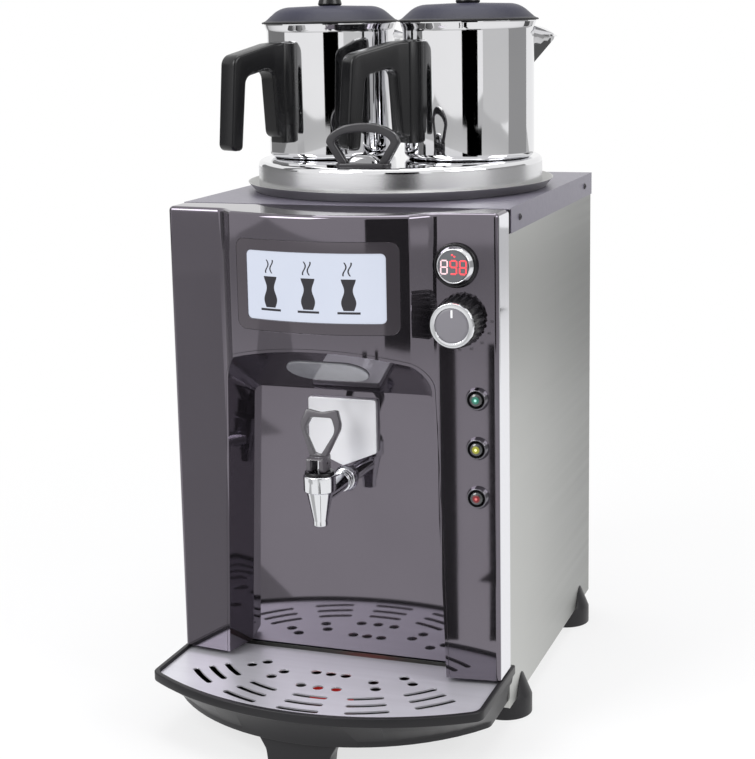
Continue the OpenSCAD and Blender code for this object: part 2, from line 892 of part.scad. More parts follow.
module tap_rosette() {
    color(chrome) difference() {
        cone_y(0, tap_z, fy(niche_d - rosette_t), fy(niche_d), rosette_d - 5, rosette_d);
        rod_y(0, tap_z, fy(niche_d - rosette_t) - cut, fy(niche_d) + cut, shank_d + 2 * press_gap);
    }
}

module tap_nut() {
    color(chrome) difference() {
        translate([0, fy(niche_d + liner_t), tap_z]) rotate([-90, 0, 0])
            cylinder(d = shank_d + nut_w, h = nut_t, $fn = 6);
        rod_y(0, tap_z, fy(niche_d), fy(shank_end), shank_d + 2 * press_gap);
    }
}

module tap_bonnet() {
    color(black) at_tap() rotate_extrude() polygon([
        [stem_d / 2 + run_gap, collar_top - 5], [collar_d / 2 - 3 - run_gap, collar_top - 5],
        [collar_d / 2 - 3 - run_gap, collar_top], [collar_d / 2 - 1, collar_top],
        [collar_d / 2 - 2, bonnet_top], [stem_d / 2 + run_gap, bonnet_top]]);
}

cup_d = chamber_d - 1;
cup_h = 9;

module tap_stem() {
    color(chrome) difference() {
        rod_z(0, tap_y, seat_z + 3, pin_z + 4, stem_d);
        translate([-stem_d, tap_y, pin_z]) rotate([0, 90, 0])
            cylinder(d = pin_d + 2 * press_gap, h = 2 * stem_d);
    }
}

module tap_seat_cup() {
    color("white") at_tap() difference() {
        rotate_extrude() polygon([
            [0, seat_z], [outlet_d / 2 + 0.5, seat_z], [cup_d / 2, seat_z + 4], [cup_d / 2, seat_z + cup_h],
            [0, seat_z + cup_h]]);
        rod_z(0, 0, seat_z + 3, seat_z + cup_h + cut, stem_d + 2 * press_gap);
    }
}

// Front view of the loop above its block: a goblet with two horns at its top corners
horn_x = loop_w * 0.4;
loop_foot = pin_z + block_h / 2;
loop_t = 9;
loop_band = 4.5;
loop_bar = 5.2;
loop_lean = 15;
neck_x = block_w / 2 - 0.5;
belly_z = loop_h * 0.64;
belly_x = loop_w / 2 + 1.4;
dip = 3;
eye_r = 3;

loop_outline = round_path(
    [[-neck_x, -cut], [neck_x, -cut], [belly_x, belly_z], [horn_x, loop_h], [0, loop_h - dip],
        [-horn_x, loop_h], [-belly_x, belly_z]],
    [0, 0, 14, 2, 20, 2, 14]);

eye_top = loop_h - dip - loop_bar;
loop_opening = round_path(
    [[-neck_x + loop_band, cut], [neck_x - loop_band, cut], [belly_x - loop_band, belly_z - loop_band],
        [horn_x - loop_band, eye_top], [-horn_x + loop_band, eye_top],
        [-belly_x + loop_band, belly_z - loop_band]],
    [cut, cut, 12, eye_r, eye_r, 12]);

// The block under the loop rides on the bonnet with a cam that lifts the stem
module lever_block() {
    front = tap_y - cam_shift - block_h / 2;
    back = tap_y + block_d / 2;
    low = pin_z - block_h / 2;
    high = pin_z + block_h / 2;
    side_slab(-block_w / 2, block_w / 2)
        polygon(round_path(
            [[front, low], [back, low], [back, high], [front, high]], [block_h / 2 - slice, 2, 2, 4]));
}

module tap_lever() {
    color(painted) difference() {
        union() {
            lever_block();
            translate([0, tap_y, loop_foot]) rotate([-loop_lean, 0, 0]) difference() {
                slab(-loop_t / 2, loop_t / 2) polygon(loop_outline);
                slab(-loop_t, loop_t) polygon(loop_opening);
            }
        }
        block([-fork_w / 2, tap_y - block_d, bonnet_top - cut],
            [fork_w / 2, tap_y + block_d, loop_foot - fork_roof]);
        translate([-block_w, tap_y, pin_z]) rotate([0, 90, 0])
            cylinder(d = pin_d + 2 * run_gap, h = 2 * block_w);
    }
}

module tap_lever_pin() {
    color(chrome) translate([-block_w / 2, tap_y, pin_z]) rotate([0, 90, 0]) cylinder(d = pin_d, h = block_w);
}

// Drip tray: a rim with a bowed front over a bowl that draws in to a rounder foot
tray_half = half_w + tray_lip;
tray_back = fy(return_d) - 0.5;
rim_top = front_bottom - 1.5;
rim_z = rim_top - rim_h;
grid_top = rim_top - 3.5;
tray_corner_r = 14;
tray_n = 24;
ledge_w = 5;
foot_arc_r = 200;
foot_arc_y = fy(-tray_reach + 11);
foot_half = half_w - 3;
leg_top_w = 84;
leg_w = 62;
leg_d = 22;
leg_y = foot_arc_y + 5;

function arc_y(x, front, r) = front + r - sqrt(r * r - x * x);

function tray_plan(half, front, r, corner) = round_path(
    concat(
        [[half, tray_back], [-half, tray_back], [-half, arc_y(half, front, r)]],
        [for (i = [1 : tray_n - 1]) let (x = half * (2 * i / tray_n - 1)) [x, arc_y(x, front, r)]],
        [[half, arc_y(half, front, r)]]),
    concat([0, 0, corner], [for (i = [1 : tray_n - 1]) 0], [corner]));

rim_plan = tray_plan(tray_half, fy(-tray_reach), tray_arc_r, tray_corner_r);
foot_plan = tray_plan(foot_half, foot_arc_y, foot_arc_r, tray_corner_r);

module bowl(grow, z0) {
    hull() {
        translate([0, 0, z0]) linear_extrude(slice) polygon(inset(foot_plan, grow));
        translate([0, 0, rim_z]) linear_extrude(slice) polygon(inset(rim_plan, 2 + grow));
    }
}

float_w = 46;
float_d = 16;
float_h = 17;
float_depth = -20;
post_d = 6;
post_x = 12;

module drip_tray() {
    color(charcoal) {
        difference() {
            union() {
                bowl(0, tray_floor);
                translate([0, 0, rim_z]) linear_extrude(rim_h) polygon(rim_plan);
                slab(leg_y, leg_y + leg_d) polygon(round_path(
                    [[-leg_w / 2, 0], [leg_w / 2, 0], [leg_top_w / 2, tray_floor + cut],
                        [-leg_top_w / 2, tray_floor + cut]],
                    [4, 4, 0, 0]));
            }
            bowl(tray_wall, tray_floor + tray_wall);
            translate([0, 0, rim_z]) linear_extrude(rim_h) polygon(inset(rim_plan, rim_w + ledge_w));
            translate([0, 0, grid_top - grid_t]) linear_extrude(rim_h) polygon(inset(rim_plan, rim_w));
        }
        for (x = [-1, 1])
            rod_z(x * post_x, fy(float_depth), tray_floor + tray_wall - cut,
                grid_top - grid_t - seat_gap, post_d);
        both_sides()
            block([tab_x - tab_w / 2, tray_back - cut, tab_z],
                [tab_x + tab_w / 2, tray_back + tab_l, tab_z + tab_h]);
    }
}

module level_float() {
    color("firebrick") difference() {
        translate([0, fy(float_depth), tray_floor + tray_wall]) linear_extrude(float_h)
            stadium(float_w, float_d);
        for (x = [-1, 1])
            rod_z(x * post_x, fy(float_depth), tray_floor, grid_top, post_d + 2 * seat_gap);
    }
}

// Grid: three rows of slots in five groups, and holes on two rings, about one centre under the casing
fan_depth = 66;
slot_radii = [144, 160.4, 176.8];
slot_turns = [-44, -22, 0, 22, 44];
slot_half_turn = 6;
ring_holes = [[121.5, [0, -8.8, 8.8, -27, 27, -45, 45]], [105, [-27, 27, -44.5, 44.5]]];
row_holes = [-15.7, 0, 15.7];

slot_n = 6;
cap_step = 20;

function outward(turn) = [sin(turn), -cos(turn)];

function along(turn) = [cos(turn), sin(turn)];

function fan_point(r, turn) = [0, fy(fan_depth)] + r * outward(turn);

function slot_cap(r, turn, start) =
    [for (a = [start : cap_step : start + 180])
        fan_point(r, turn) + slot_w / 2 * (cos(a) * outward(turn) + sin(a) * along(turn))];

// A slot bent round the fan's centre, with round ends
function slot_outline(r, turn) = concat(
    slot_cap(r, turn + slot_half_turn, 0),
    [for (i = [slot_n - 1 : -1 : 1 - slot_n]) fan_point(r - slot_w / 2, turn + slot_half_turn * i / slot_n)],
    slot_cap(r, turn - slot_half_turn, 180),
    [for (i = [1 - slot_n : slot_n - 1]) fan_point(r + slot_w / 2, turn + slot_half_turn * i / slot_n)]);

module drip_grid() {
    color(steel) translate([0, 0, grid_top - grid_t]) linear_extrude(grid_t) difference() {
        polygon(inset(rim_plan, rim_w + seat_gap));
        for (r = slot_radii, turn = slot_turns) polygon(slot_outline(r, turn));
        for (ring = ring_holes, turn = ring[1]) translate(fan_point(ring[0], turn)) circle(d = hole_d);
        for (x = row_holes) translate([x, fy(float_depth)]) circle(d = hole_d);
    }
}

// Tank with a flared lip above the cover, standing on a ring
ledge_r = lid_r + 4;
tank_corner_r = 15;
feed_rise = 38;
feed_z = tank_bottom + feed_rise;
pipe_d = 16;
pipe_bore = 13;
bend_r = 12;
riser_y = fy(shank_end) + bend_r;
heater_inset = 55;
heater_r = tank_r - heater_inset;
heater_rise = 30;
heater_z = tank_bottom + heater_rise;
heater_tail = 18;
heater_nut = 7;
heater_d = 8.4;
heater_gap = 20;
probe = [-50, -30];
probe_d = 5;
cutout = [45, -20];
stand_inset = 30;
stand_r = tank_r - stand_inset;
probe_l = 45;
probe_tail = 20;
probe_nut = 10;
cutout_d = 28;
cutout_h = 12;
tab_spread = 6;
tab_half = [2, 3];
tab_tail = 22;

function tank_path(t) = round_path(
    [[0, tank_bottom + t], [tank_r - t, tank_bottom + t], [tank_r - t, ledge_z + t],
        [ledge_r - t / 2, ledge_z + t], [lip_r - t, body_top + lip_h], [lip_r - t,
        body_top + lip_h + t], [0, body_top + lip_h + t]],
    [0, tank_corner_r - t, 0, 0, 0, 0, 0]);

module at_tank() {
    translate([0, tank_y, 0]) children();
}

module at_heater_legs() {
    for (turn = [90 - heater_gap, 90 + heater_gap])
        rotate([0, 0, turn]) translate([heater_r, 0, 0]) children();
}

module tank() {
    color(steel) difference() {
        at_tank() difference() {
            rotate_extrude() polygon(tank_path(0));
            rotate_extrude() polygon(tank_path(tank_t));
            rod_z(0, 0, body_top + lip_h, body_top + lip_h + 2 * tank_t, 2 * lip_r + cut);
            at_heater_legs()
                rod_z(0, 0, tank_bottom - cut, tank_bottom + 2 * tank_t, heater_d + 2 * seat_gap);
            rod_z(probe.x, probe.y, tank_bottom - cut, tank_bottom + 2 * tank_t, probe_d + 2 * seat_gap);
        }
        rod_y(0, feed_z, tank_y - tank_r - cut, tank_y, pipe_d + 2 * seat_gap);
        bulb_rod(bulb_d + 2 * seat_gap);
    }
}

jacket_rise = 24;
jacket_drop = 16;
jacket_bottom = tank_bottom + jacket_rise;
jacket_top = cover_z - jacket_drop;

module tank_jacket() {
    color("beige") at_tank() rotate([0, 0, -45]) rotate_extrude(angle = 270)
        translate([tank_r + seat_gap, jacket_bottom]) square([jacket_t, jacket_top - jacket_bottom]);
}

module tank_stand() {
    window_w = stand_r;
    color(steel) at_tank() difference() {
        rod_z(0, 0, foot_h + sheet_t, tank_bottom, 2 * stand_r);
        rod_z(0, 0, foot_h, tank_bottom + cut, 2 * (stand_r - 2 * sheet_t));
        for (turn = [0, 90]) rotate([0, 0, turn])
            block([-2 * stand_r, -window_w / 2, foot_h + 4 * pan_flange / 3],
                [2 * stand_r, window_w / 2, tank_bottom - pan_flange]);
    }
}

module heating_element() {
    color(steel) at_tank() {
        rotate([0, 0, 90 + heater_gap]) rotate_extrude(angle = 360 - 2 * heater_gap)
            translate([heater_r, heater_z]) circle(d = heater_d);
        at_heater_legs() {
            translate([0, 0, heater_z]) sphere(d = heater_d);
            rod_z(0, 0, tank_bottom - heater_tail, heater_z, heater_d);
            translate([0, 0, tank_bottom - heater_nut]) cylinder(d = 2 * heater_d, h = heater_nut, $fn = 6);
        }
    }
}

module safety_cutout() {
    color(black) at_tank() {
        rod_z(cutout.x, cutout.y, tank_bottom - cutout_h, tank_bottom, cutout_d);
        for (x = [-tab_spread, tab_spread])
            block([cutout.x + x - tab_half.x, cutout.y - tab_half.y, tank_bottom - tab_tail],
                [cutout.x + x + tab_half.x, cutout.y + tab_half.y, tank_bottom - cutout_h]);
    }
}

module level_probe() {
    color("ivory") at_tank() {
        rod_z(probe.x, probe.y, tank_bottom - probe_tail, tank_bottom + probe_l, probe_d);
        rod_z(probe.x, probe.y, tank_bottom - probe_nut, tank_bottom, 3 * probe_d);
    }
}

// Pipe from low in the tank, up behind the niche and forward to the tap's shank
module pipe_run(d) {
    rod_y(0, feed_z, riser_y + bend_r, tank_y - tank_r + 4, d);
    translate([0, riser_y, feed_z + bend_r]) rod_z(0, 0, 0, tap_z - feed_z - 2 * bend_r, d);
    translate([0, riser_y + bend_r, feed_z + bend_r]) rotate([90, 0, -90]) rotate([0, 0, 270])
        rotate_extrude(angle = 90) translate([bend_r, 0]) circle(d = d);
    translate([0, riser_y - bend_r, tap_z - bend_r]) rotate([90, 0, 90])
        rotate_extrude(angle = 90) translate([bend_r, 0]) circle(d = d);
}

module feed_pipe() {
    color(steel) difference() {
        pipe_run(pipe_d);
        pipe_run(pipe_bore);
    }
}

// Lid of the tank, with a loop handle near its front edge
lid_edge_r = 5;
lid_handle_inset = 13.5;
lid_handle_r = lid_r - lid_handle_inset;
handle_base_w = 57;
handle_base_d = 16;
handle_base_h = 5;
handle_t = 10;
handle_band = 9;
dish_w = 34;
dish_h = 9;
arch_n = 12;

module at_lid_handle() {
    translate([0, tank_y, lid_top]) rotate([0, 0, lid_turn]) translate([0, -lid_handle_r, 0]) children();
}

module tank_lid() {
    low = ledge_z + tank_t;
    color(steel) at_tank() rotate_extrude() polygon(round_path(
        [[lid_r - tank_t, low], [lid_r, low], [lid_r, lid_top], [0, lid_top], [0, lid_top - tank_t],
            [lid_r - tank_t, lid_top - tank_t]],
        [0, 0, lid_edge_r, 0, 0, lid_edge_r - tank_t]));
}

// Front view of the handle: legs that spread to a flat arch
function arch_outline(foot, foot_z, half, shoulder_z, top_z) = concat(
    [[-foot, foot_z], [foot, foot_z]],
    [for (i = [0 : arch_n])
        let (a = 180 * i / arch_n)
        [half * cos(a), shoulder_z + (top_z - shoulder_z) * sin(a)]]);

module lid_handle() {
    shoulder_z = lid_handle_h * 0.56;
    leg_x = handle_base_w / 2 - 3;
    color(charcoal) at_lid_handle() {
        linear_extrude(handle_base_h) stadium(handle_base_w, handle_base_d);
        difference() {
            slab(-handle_t / 2, handle_t / 2)
                polygon(arch_outline(leg_x, handle_base_h - cut, lid_handle_w / 2, shoulder_z, lid_handle_h));
            slab(-handle_base_d, handle_base_d)
                polygon(arch_outline(leg_x - handle_band - 1, handle_base_h - 2 * cut,
                    lid_handle_w / 2 - handle_band, shoulder_z, lid_handle_h - handle_band));
        }
    }
}

module handle_dish() {
    color(chrome) at_lid_handle() translate([0, 0, handle_base_h]) hull() {
        linear_extrude(slice) stadium(dish_w, handle_base_d - 2, $fn = 32);
        translate([0, 0, dish_h * 0.6]) linear_extrude(slice)
            stadium(dish_w * 0.8, handle_base_d * 0.7, $fn = 32);
        translate([0, 0, dish_h]) linear_extrude(slice) stadium(dish_w * 0.4, handle_base_d * 0.3, $fn = 32);
    }
}

// Teapots, built with the handle towards -Y and then turned
pot_flare = 2.5;
pot_corner_r = 7;
rim_flat = 1.5;
beak_w = 46;
beak_h = 52;
beak_drop = 9;
beak_tip_r = 2.5;
beak_tip_drop = 11;
beak_root = 6;
beak_keel = 3;
pot_y = tank_y - lid_handle_r + pot_back;

module at_pot(side, turn) {
    translate([side * pot_x, pot_y, lid_top]) rotate([0, 0, -turn]) children();
}

function pot_path(t) = round_path(
    [[0, t], [pot_r - t, t], [pot_r - t, pot_h - 8], [pot_r + pot_flare - t, pot_h - rim_flat],
        [pot_r + pot_flare - t, pot_h], [0, pot_h]],
    [0, pot_corner_r - t, 12, 0, 0, 0]);

// A V-shaped beak, widest at the top, drawn out to a tip
module beak(t, lift) {
    top = pot_h - beak_drop + lift;
    tip_r = max(beak_tip_r - t, 0.8);
    tip_y = pot_r + beak_reach - beak_tip_r - t;
    low = top - beak_h + 2 * t;
    root = [[-beak_w / 2 + t, top], [beak_w / 2 - t, top], [beak_keel, low], [-beak_keel, low]];
    hull() {
        slab(pot_r - beak_root, pot_r - beak_root + slice) polygon(root);
        for (z = [top - beak_tip_drop + lift, top - beak_tip_drop - beak_tip_r + lift])
            translate([0, tip_y, z]) sphere(r = tip_r, $fn = 24);
    }
}

module pot_body() {
    difference() {
        union() {
            difference() {
                rotate_extrude() polygon(pot_path(0));
                rotate_extrude() polygon(pot_path(pot_t));
                rod_z(0, 0, pot_h - rim_flat, pot_h + cut, 2 * (pot_r + pot_flare - pot_t));
            }
            difference() {
                beak(0, 0);
                rod_z(0, 0, 0, pot_h, 2 * (pot_r - pot_t / 2));
            }
        }
        difference() {
            beak(pot_t + 0.3, 3);
            rod_z(0, 0, pot_h - beak_drop - 1, pot_h, 2 * (pot_r + cut));
        }
    }
}

// Handle with a leaning grip, on a leg that stands out from a bracket on the teapot's wall
grip_t = 16;
leg_t = 25.3;
leg_taper = 5;
arm_top = 125;
grip_top = 111;
grip_foot = 15;
leg_foot = 25;
gap_top = 98;
arm_drop = 8;
bracket_t = 13;
bracket_lap = 1.2;
bracket_foot = 19;
bracket_top = 123;
bracket_r = 5;
pot_wall_gap = 0.2;

module pot_handle() {
    inner = pot_r - 4;
    leg_y = pot_r + leg_t;
    grip_y = handle_reach - grip_lean;
    half = handle_w / 2 + bracket_lap;
    front = pot_r + bracket_t;
    outline = round_path(
        [[-inner, arm_top], [-leg_y, arm_top - 2], [-grip_y, grip_top], [-handle_reach, grip_foot],
            [-handle_reach + grip_t, grip_foot], [-grip_y + grip_t, gap_top - arm_drop], [-leg_y, gap_top],
            [-leg_y + leg_taper, leg_foot], [-inner, leg_foot]],
        [0, 30, 12, 7, 5, 10, 10, 8, 0]);
    plan = round_path(
        [[-half, -inner], [-half, -front], [half, -front], [half, -inner]], [0, bracket_r, bracket_r, 0]);
    color(black) difference() {
        union() {
            side_slab(-handle_w / 2, handle_w / 2) polygon(outline);
            translate([0, 0, bracket_foot]) linear_extrude(bracket_top - bracket_foot) polygon(plan);
        }
        rod_z(0, 0, 0, pot_h + cut, 2 * (pot_r + pot_wall_gap));
    }
}

// Lid with a rounded shoulder, a spigot that sits in the rim and a flat top for its knob
pot_lid_edge = 1.5;
pot_lid_t = 1.6;
brow_in = 4;
brow_z = 3;
shoulder_in = 20;
shoulder_drop = 1.2;
spigot = 8;
spigot_in = 4;
pot_knob_r = 13.5;
knob_seat_r = 16;

module pot_lid() {
    brow = [pot_lid_r - brow_in, brow_z];
    shoulder = [pot_lid_r - shoulder_in, dome_h - shoulder_drop];
    hollow_r = pot_r - spigot_in;
    plug_r = pot_r - pot_t - 1;
    color(navy) translate([0, 0, pot_h]) rotate_extrude() polygon(round_path(
        [[hollow_r, -spigot], [plug_r, -spigot], [plug_r, 0], [pot_lid_r, 0], [pot_lid_r, pot_lid_edge], brow,
            shoulder, [knob_seat_r, dome_h], [0, dome_h], [0, dome_h - pot_lid_t],
            shoulder - pot_lid_t * [0.6, 1.2], [hollow_r, brow_z + pot_lid_t]],
        [0, 0, 0, 0, 0, 4, 28, 0, 0, 0, 26, 0]));
}

module pot_knob() {
    color(black) translate([0, 0, pot_h + dome_h]) rotate_extrude() polygon(round_path(
        [[0, 0], [pot_knob_r, 0], [pot_knob_r - 4, pot_knob_h * 0.45], [pot_knob_r - 0.5, pot_knob_h - 3],
            [pot_knob_r - 4, pot_knob_h], [0, pot_knob_h]],
        [0, 2, 12, 3, 3, 0]));
}

module left_pot() {
    color(chrome) at_pot(-1, left_turn) pot_body();
}

module left_pot_handle() {
    at_pot(-1, left_turn) pot_handle();
}

module left_pot_lid() {
    at_pot(-1, left_turn) pot_lid();
}

module left_pot_knob() {
    at_pot(-1, left_turn) pot_knob();
}

module right_pot() {
    color(chrome) at_pot(1, right_turn) pot_body();
}

module right_pot_handle() {
    at_pot(1, right_turn) pot_handle();
}

module right_pot_lid() {
    at_pot(1, right_turn) pot_lid();
}

module right_pot_knob() {
    at_pot(1, right_turn) pot_knob();
}

// Mains side: terminals on the base and the gland in the back
terminal_n = 3;
terminal_pitch = 14;
terminal_d = 22;
terminal_h = 20;
clamp_d = 6;
wire_d = 5;

module terminal_block() {
    x0 = gland_x - terminal_n * terminal_pitch / 2;
    y0 = fy(body_d - foot_back);
    z0 = foot_h + sheet_t;
    color("ivory") difference() {
        block([x0, y0, z0], [x0 + terminal_n * terminal_pitch, y0 + terminal_d, z0 + terminal_h]);
        for (i = [0 : terminal_n - 1]) {
            x = x0 + (i + 0.5) * terminal_pitch;
            rod_z(x, y0 + terminal_d / 2, z0 + terminal_h / 2, z0 + terminal_h + cut, clamp_d);
            rod_y(x, z0 + terminal_h / 3, y0 - cut, y0 + terminal_d + cut, wire_d);
        }
    }
}

cord_bore = 9;

module cable_gland() {
    outside = fy(body_d - sheet_t);
    color(black) difference() {
        union() {
            rod_y(gland_x, gland_z, outside - sheet_t - 8, outside, gland_hole);
            cone_y(gland_x, gland_z, outside, fy(body_d) + gland_reach, gland_hole + 8, gland_hole - 2);
            translate([gland_x, outside - sheet_t - 6, gland_z]) rotate([-90, 0, 0])
                cylinder(d = gland_hole + 8, h = 6, $fn = 6);
        }
        rod_y(gland_x, gland_z, outside - sheet_t - 8 - cut, fy(body_d) + gland_reach + cut, cord_bore);
    }
}

base_plate();
left_side_panel();
right_side_panel();
back_panel();
top_cover();
case_screws();
front_left_foot();
front_right_foot();
rear_left_foot();
rear_right_foot();
front_panel();
niche_liner();
niche_lamp();
sign_frame();
sign_window();
sign_light_board();
display_bezel();
display_ring();
display_module();
lamp_bezels();
green_lamp();
amber_lamp();
red_lamp();
thermostat_body();
thermostat_shaft();
control_knob();
knob_ring();
knob_cap();
tap_shield();
tap_body();
tap_rosette();
tap_nut();
tap_bonnet();
tap_stem();
tap_seat_cup();
tap_lever();
tap_lever_pin();
drip_tray();
drip_grid();
level_float();
tank();
tank_jacket();
tank_stand();
heating_element();
safety_cutout();
level_probe();
feed_pipe();
tank_lid();
lid_handle();
handle_dish();
left_pot();
left_pot_handle();
left_pot_lid();
left_pot_knob();
right_pot();
right_pot_handle();
right_pot_lid();
right_pot_knob();
terminal_block();
cable_gland();
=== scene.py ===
import json
import math

import bmesh
import bpy
from mathutils import Matrix, Vector

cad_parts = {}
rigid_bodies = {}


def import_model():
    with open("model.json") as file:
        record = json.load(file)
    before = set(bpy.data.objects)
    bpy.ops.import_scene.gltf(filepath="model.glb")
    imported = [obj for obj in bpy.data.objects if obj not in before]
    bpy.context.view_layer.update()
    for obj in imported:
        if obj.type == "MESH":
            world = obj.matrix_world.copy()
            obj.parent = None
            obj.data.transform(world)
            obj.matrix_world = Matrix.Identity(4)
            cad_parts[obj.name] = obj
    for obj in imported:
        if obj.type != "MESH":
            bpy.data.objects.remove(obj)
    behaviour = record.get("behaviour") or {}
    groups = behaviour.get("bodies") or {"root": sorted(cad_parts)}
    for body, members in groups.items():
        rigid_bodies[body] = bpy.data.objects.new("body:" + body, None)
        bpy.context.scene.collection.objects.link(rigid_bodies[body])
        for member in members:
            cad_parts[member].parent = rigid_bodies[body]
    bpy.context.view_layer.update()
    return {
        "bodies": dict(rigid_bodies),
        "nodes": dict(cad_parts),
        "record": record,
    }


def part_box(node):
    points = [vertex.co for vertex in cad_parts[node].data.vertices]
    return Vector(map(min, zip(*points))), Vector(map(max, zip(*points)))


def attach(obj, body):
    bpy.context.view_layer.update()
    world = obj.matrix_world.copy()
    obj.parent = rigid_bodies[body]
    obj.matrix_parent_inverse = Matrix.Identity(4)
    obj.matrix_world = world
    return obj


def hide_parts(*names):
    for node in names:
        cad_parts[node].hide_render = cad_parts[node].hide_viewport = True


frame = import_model()
cadNodes = frame["nodes"]
slotOf = {part["node"]: part["material_slot"] for part in frame["record"]["subparts"]}
bodyOf = {node: name for name, body in frame["bodies"].items()
          for node, piece in cadNodes.items() if piece.parent == body}
print("frame loaded:", len(cadNodes), "nodes")

mm = 0.001


class Sizes(dict):
    # the settings of one piece, read as attributes
    __getattr__ = dict.__getitem__


def setAll(target, **settings):
    for key, value in settings.items():
        setattr(target, key, value)


# names of the nodes, and their boxes in mm

def camel(node):
    first, *rest = node.split("_")
    return first + "".join(word.capitalize() for word in rest)


def middle(node):
    low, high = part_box(node)
    return (low + high) / 2 / mm


def lowOf(node):
    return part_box(node)[0] / mm


def highOf(node):
    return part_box(node)[1] / mm


# node wiring

def plug(value, socket):
    # a wire is linked to the socket, any other value is set on it
    if isinstance(value, Wire):
        value.tree.links.new(value.socket, socket)
    else:
        socket.default_value = value


class Wire:
    # one socket of a node tree, with arithmetic

    def __init__(self, tree, socket):
        self.tree = tree
        self.socket = socket

    def add(self, kind, settings, inputs, out=0):
        node = self.tree.nodes.new(kind)
        setAll(node, **settings)
        for key, value in inputs.items():
            plug(value, node.inputs[key])
        return Wire(self.tree, node.outputs[out])

    def maths(self, operation, other=0.0):
        return self.add("ShaderNodeMath", {"operation": operation}, {0: self, 1: other})

    def __add__(self, other):
        return self.maths("ADD", other)

    __radd__ = __add__

    def __sub__(self, other):
        return self.maths("SUBTRACT", other)

    def __rsub__(self, other):
        return self.add("ShaderNodeMath", {"operation": "SUBTRACT"}, {0: other, 1: self})

    def __mul__(self, other):
        return self.maths("MULTIPLY", other)

    def below(self, limit, soft):
        # 1 below the limit, 0 above it
        return self.add("ShaderNodeMapRange", {"interpolation_type": "SMOOTHSTEP"},
                        {0: self, 1: limit - soft, 2: limit + soft, 3: 1.0, 4: 0.0})

    def size(self):
        return self.maths("ABSOLUTE")

    def sine(self):
        return self.maths("SINE")

    def mixed(self, first, second):
        # self is the share of the second colour
        return self.add("ShaderNodeMix", {"data_type": "RGBA"}, {0: self, 6: first, 7: second}, out=2)

    def between(self, colour, dark, light):
        # self runs from a darker to a lighter form of one colour
        return self.mixed(shade(colour, dark), shade(colour, light))

    def axis(self, letter):
        return self.add("ShaderNodeSeparateXYZ", {}, {0: self}, out="xyz".index(letter))


def rgb(red, green, blue):
    # screen values 0 to 255 to linear light
    def linear(v):
        v /= 255
        return v / 12.92 if v < 0.04045 else ((v + 0.055) / 1.055) ** 2.4
    return (linear(red), linear(green), linear(blue), 1)


def shade(colour, factor):
    return (colour[0] * factor, colour[1] * factor, colour[2] * factor, 1)


def startFinish(name):
    # a new material, its shader and its object coordinates
    finish = bpy.data.materials.new(name)
    finish.use_nodes = True
    tree = finish.node_tree
    coords = tree.nodes.new("ShaderNodeTexCoord")
    return finish, tree.nodes["Principled BSDF"], Wire(tree, coords.outputs["Object"])


def feed(shader, **links):
    for key, value in links.items():
        plug(value, shader.inputs[key.replace("_", " ")])


# scale and detail of each noise
patterns = {"drift": (9, 3), "wave": (30, 3), "dust": (160, 6), "cloud": (12, 3), "steelCloud": (7, 3),
            "glowCloud": (60, 3), "lampCloud": (80, 3), "lidDrift": (10, 3), "lidWave": (25, 3),
            "lidDust": (140, 6), "paper": (14, 3), "signDust": (200, 5)}


def noise(coords, scale, detail, stretch=(1, 1, 1)):
    spread = coords.add("ShaderNodeMapping", {}, {"Vector": coords, "Scale": stretch})
    return coords.add("ShaderNodeTexNoise", {}, {"Vector": spread, "Scale": scale, "Detail": detail})


def pattern(coords, kind):
    return noise(coords, *patterns[kind])


def driftOf(coords, colour, kind="drift"):
    return pattern(coords, kind).between(colour, 0.94, 1.06)


def dustOf(coords, spread, kind="dust"):
    return (pattern(coords, kind) - 0.5) * spread


def bump(height, strength):
    return height.add("ShaderNodeBump", {}, {"Height": height, "Strength": strength, "Distance": 0.2 * mm})


def awayFrom(coords, at, pitch=None):
    # mm from an axis that runs front to back, or from the nearest one of a column of them
    x = coords.axis("x") * 1000 - at.x
    z = coords.axis("z") * 1000 - at.z
    if pitch:
        z = (z + pitch / 2).maths("FLOORED_MODULO", pitch) - pitch / 2
    return (x * x + z * z).maths("SQRT")


# kinds of finish

def gloss(coords, colour, rough, metal=1.0, dust=0.04, wave=0.01):
    # hard shiny plastic or plate: faint tone drift, dust in the gloss, a trace of waviness
    return dict(Base_Color=driftOf(coords, colour), Metallic=metal, Roughness=rough + dustOf(coords, dust),
                Normal=bump(pattern(coords, "wave"), wave))


def moulding(coords, side, edgeX, **look):
    # gloss, with the outer sides painted another colour: a near-white painted reflection of the white
    # surroundings seen at a grazing angle
    feeds = gloss(coords, **look)
    front = coords.axis("x").size().below(edgeX * mm, 0.2 * mm)
    feeds["Base_Color"] = front.mixed(side, feeds["Base_Color"])
    return feeds


def brushed(coords, colour, rough, scale, stretch, depth=0.08, metal=1.0, rear=None):
    # metal with fine lines along one axis, which may be painted darker towards the rear as painted shade
    lines = noise(coords, scale, 4, stretch)
    tone = lines * 0.6 + pattern(coords, "steelCloud") * 0.4
    base = tone.between(colour, 0.86, 1.08)
    if rear:
        # painted shade: towards the rear the colour goes over to the darker rear colour
        base = coords.axis("y").below(0.06, 0.24).mixed(tone.between(rear, 0.9, 1.05), base)
    return dict(Base_Color=base, Metallic=metal, Roughness=rough + (lines - 0.5) * 0.12,
                Normal=bump(lines, depth))


def grained(coords, colour, rough, grain, scale=900, specular=0.5):
    # moulded plastic or rubber with a fine grain
    cloud = pattern(coords, "cloud")
    return dict(Base_Color=cloud.between(colour, 0.88, 1.12), Roughness=rough + (cloud - 0.5) * 0.12,
                Specular_IOR_Level=specular, Normal=bump(noise(coords, scale, 2), grain))


def lit(coords, colour, rough, glow):
    # a lit face or a clear piece: colour with some glow of its own; on the level float the glow is painted
    # light
    cloud = pattern(coords, "glowCloud")
    return dict(Base_Color=cloud.between(colour, 0.85, 1.1), Roughness=rough + (cloud - 0.5) * 0.04,
                Coat_Weight=0.5, Emission_Color=cloud.between(colour, 0.9, 1.0), Emission_Strength=glow)


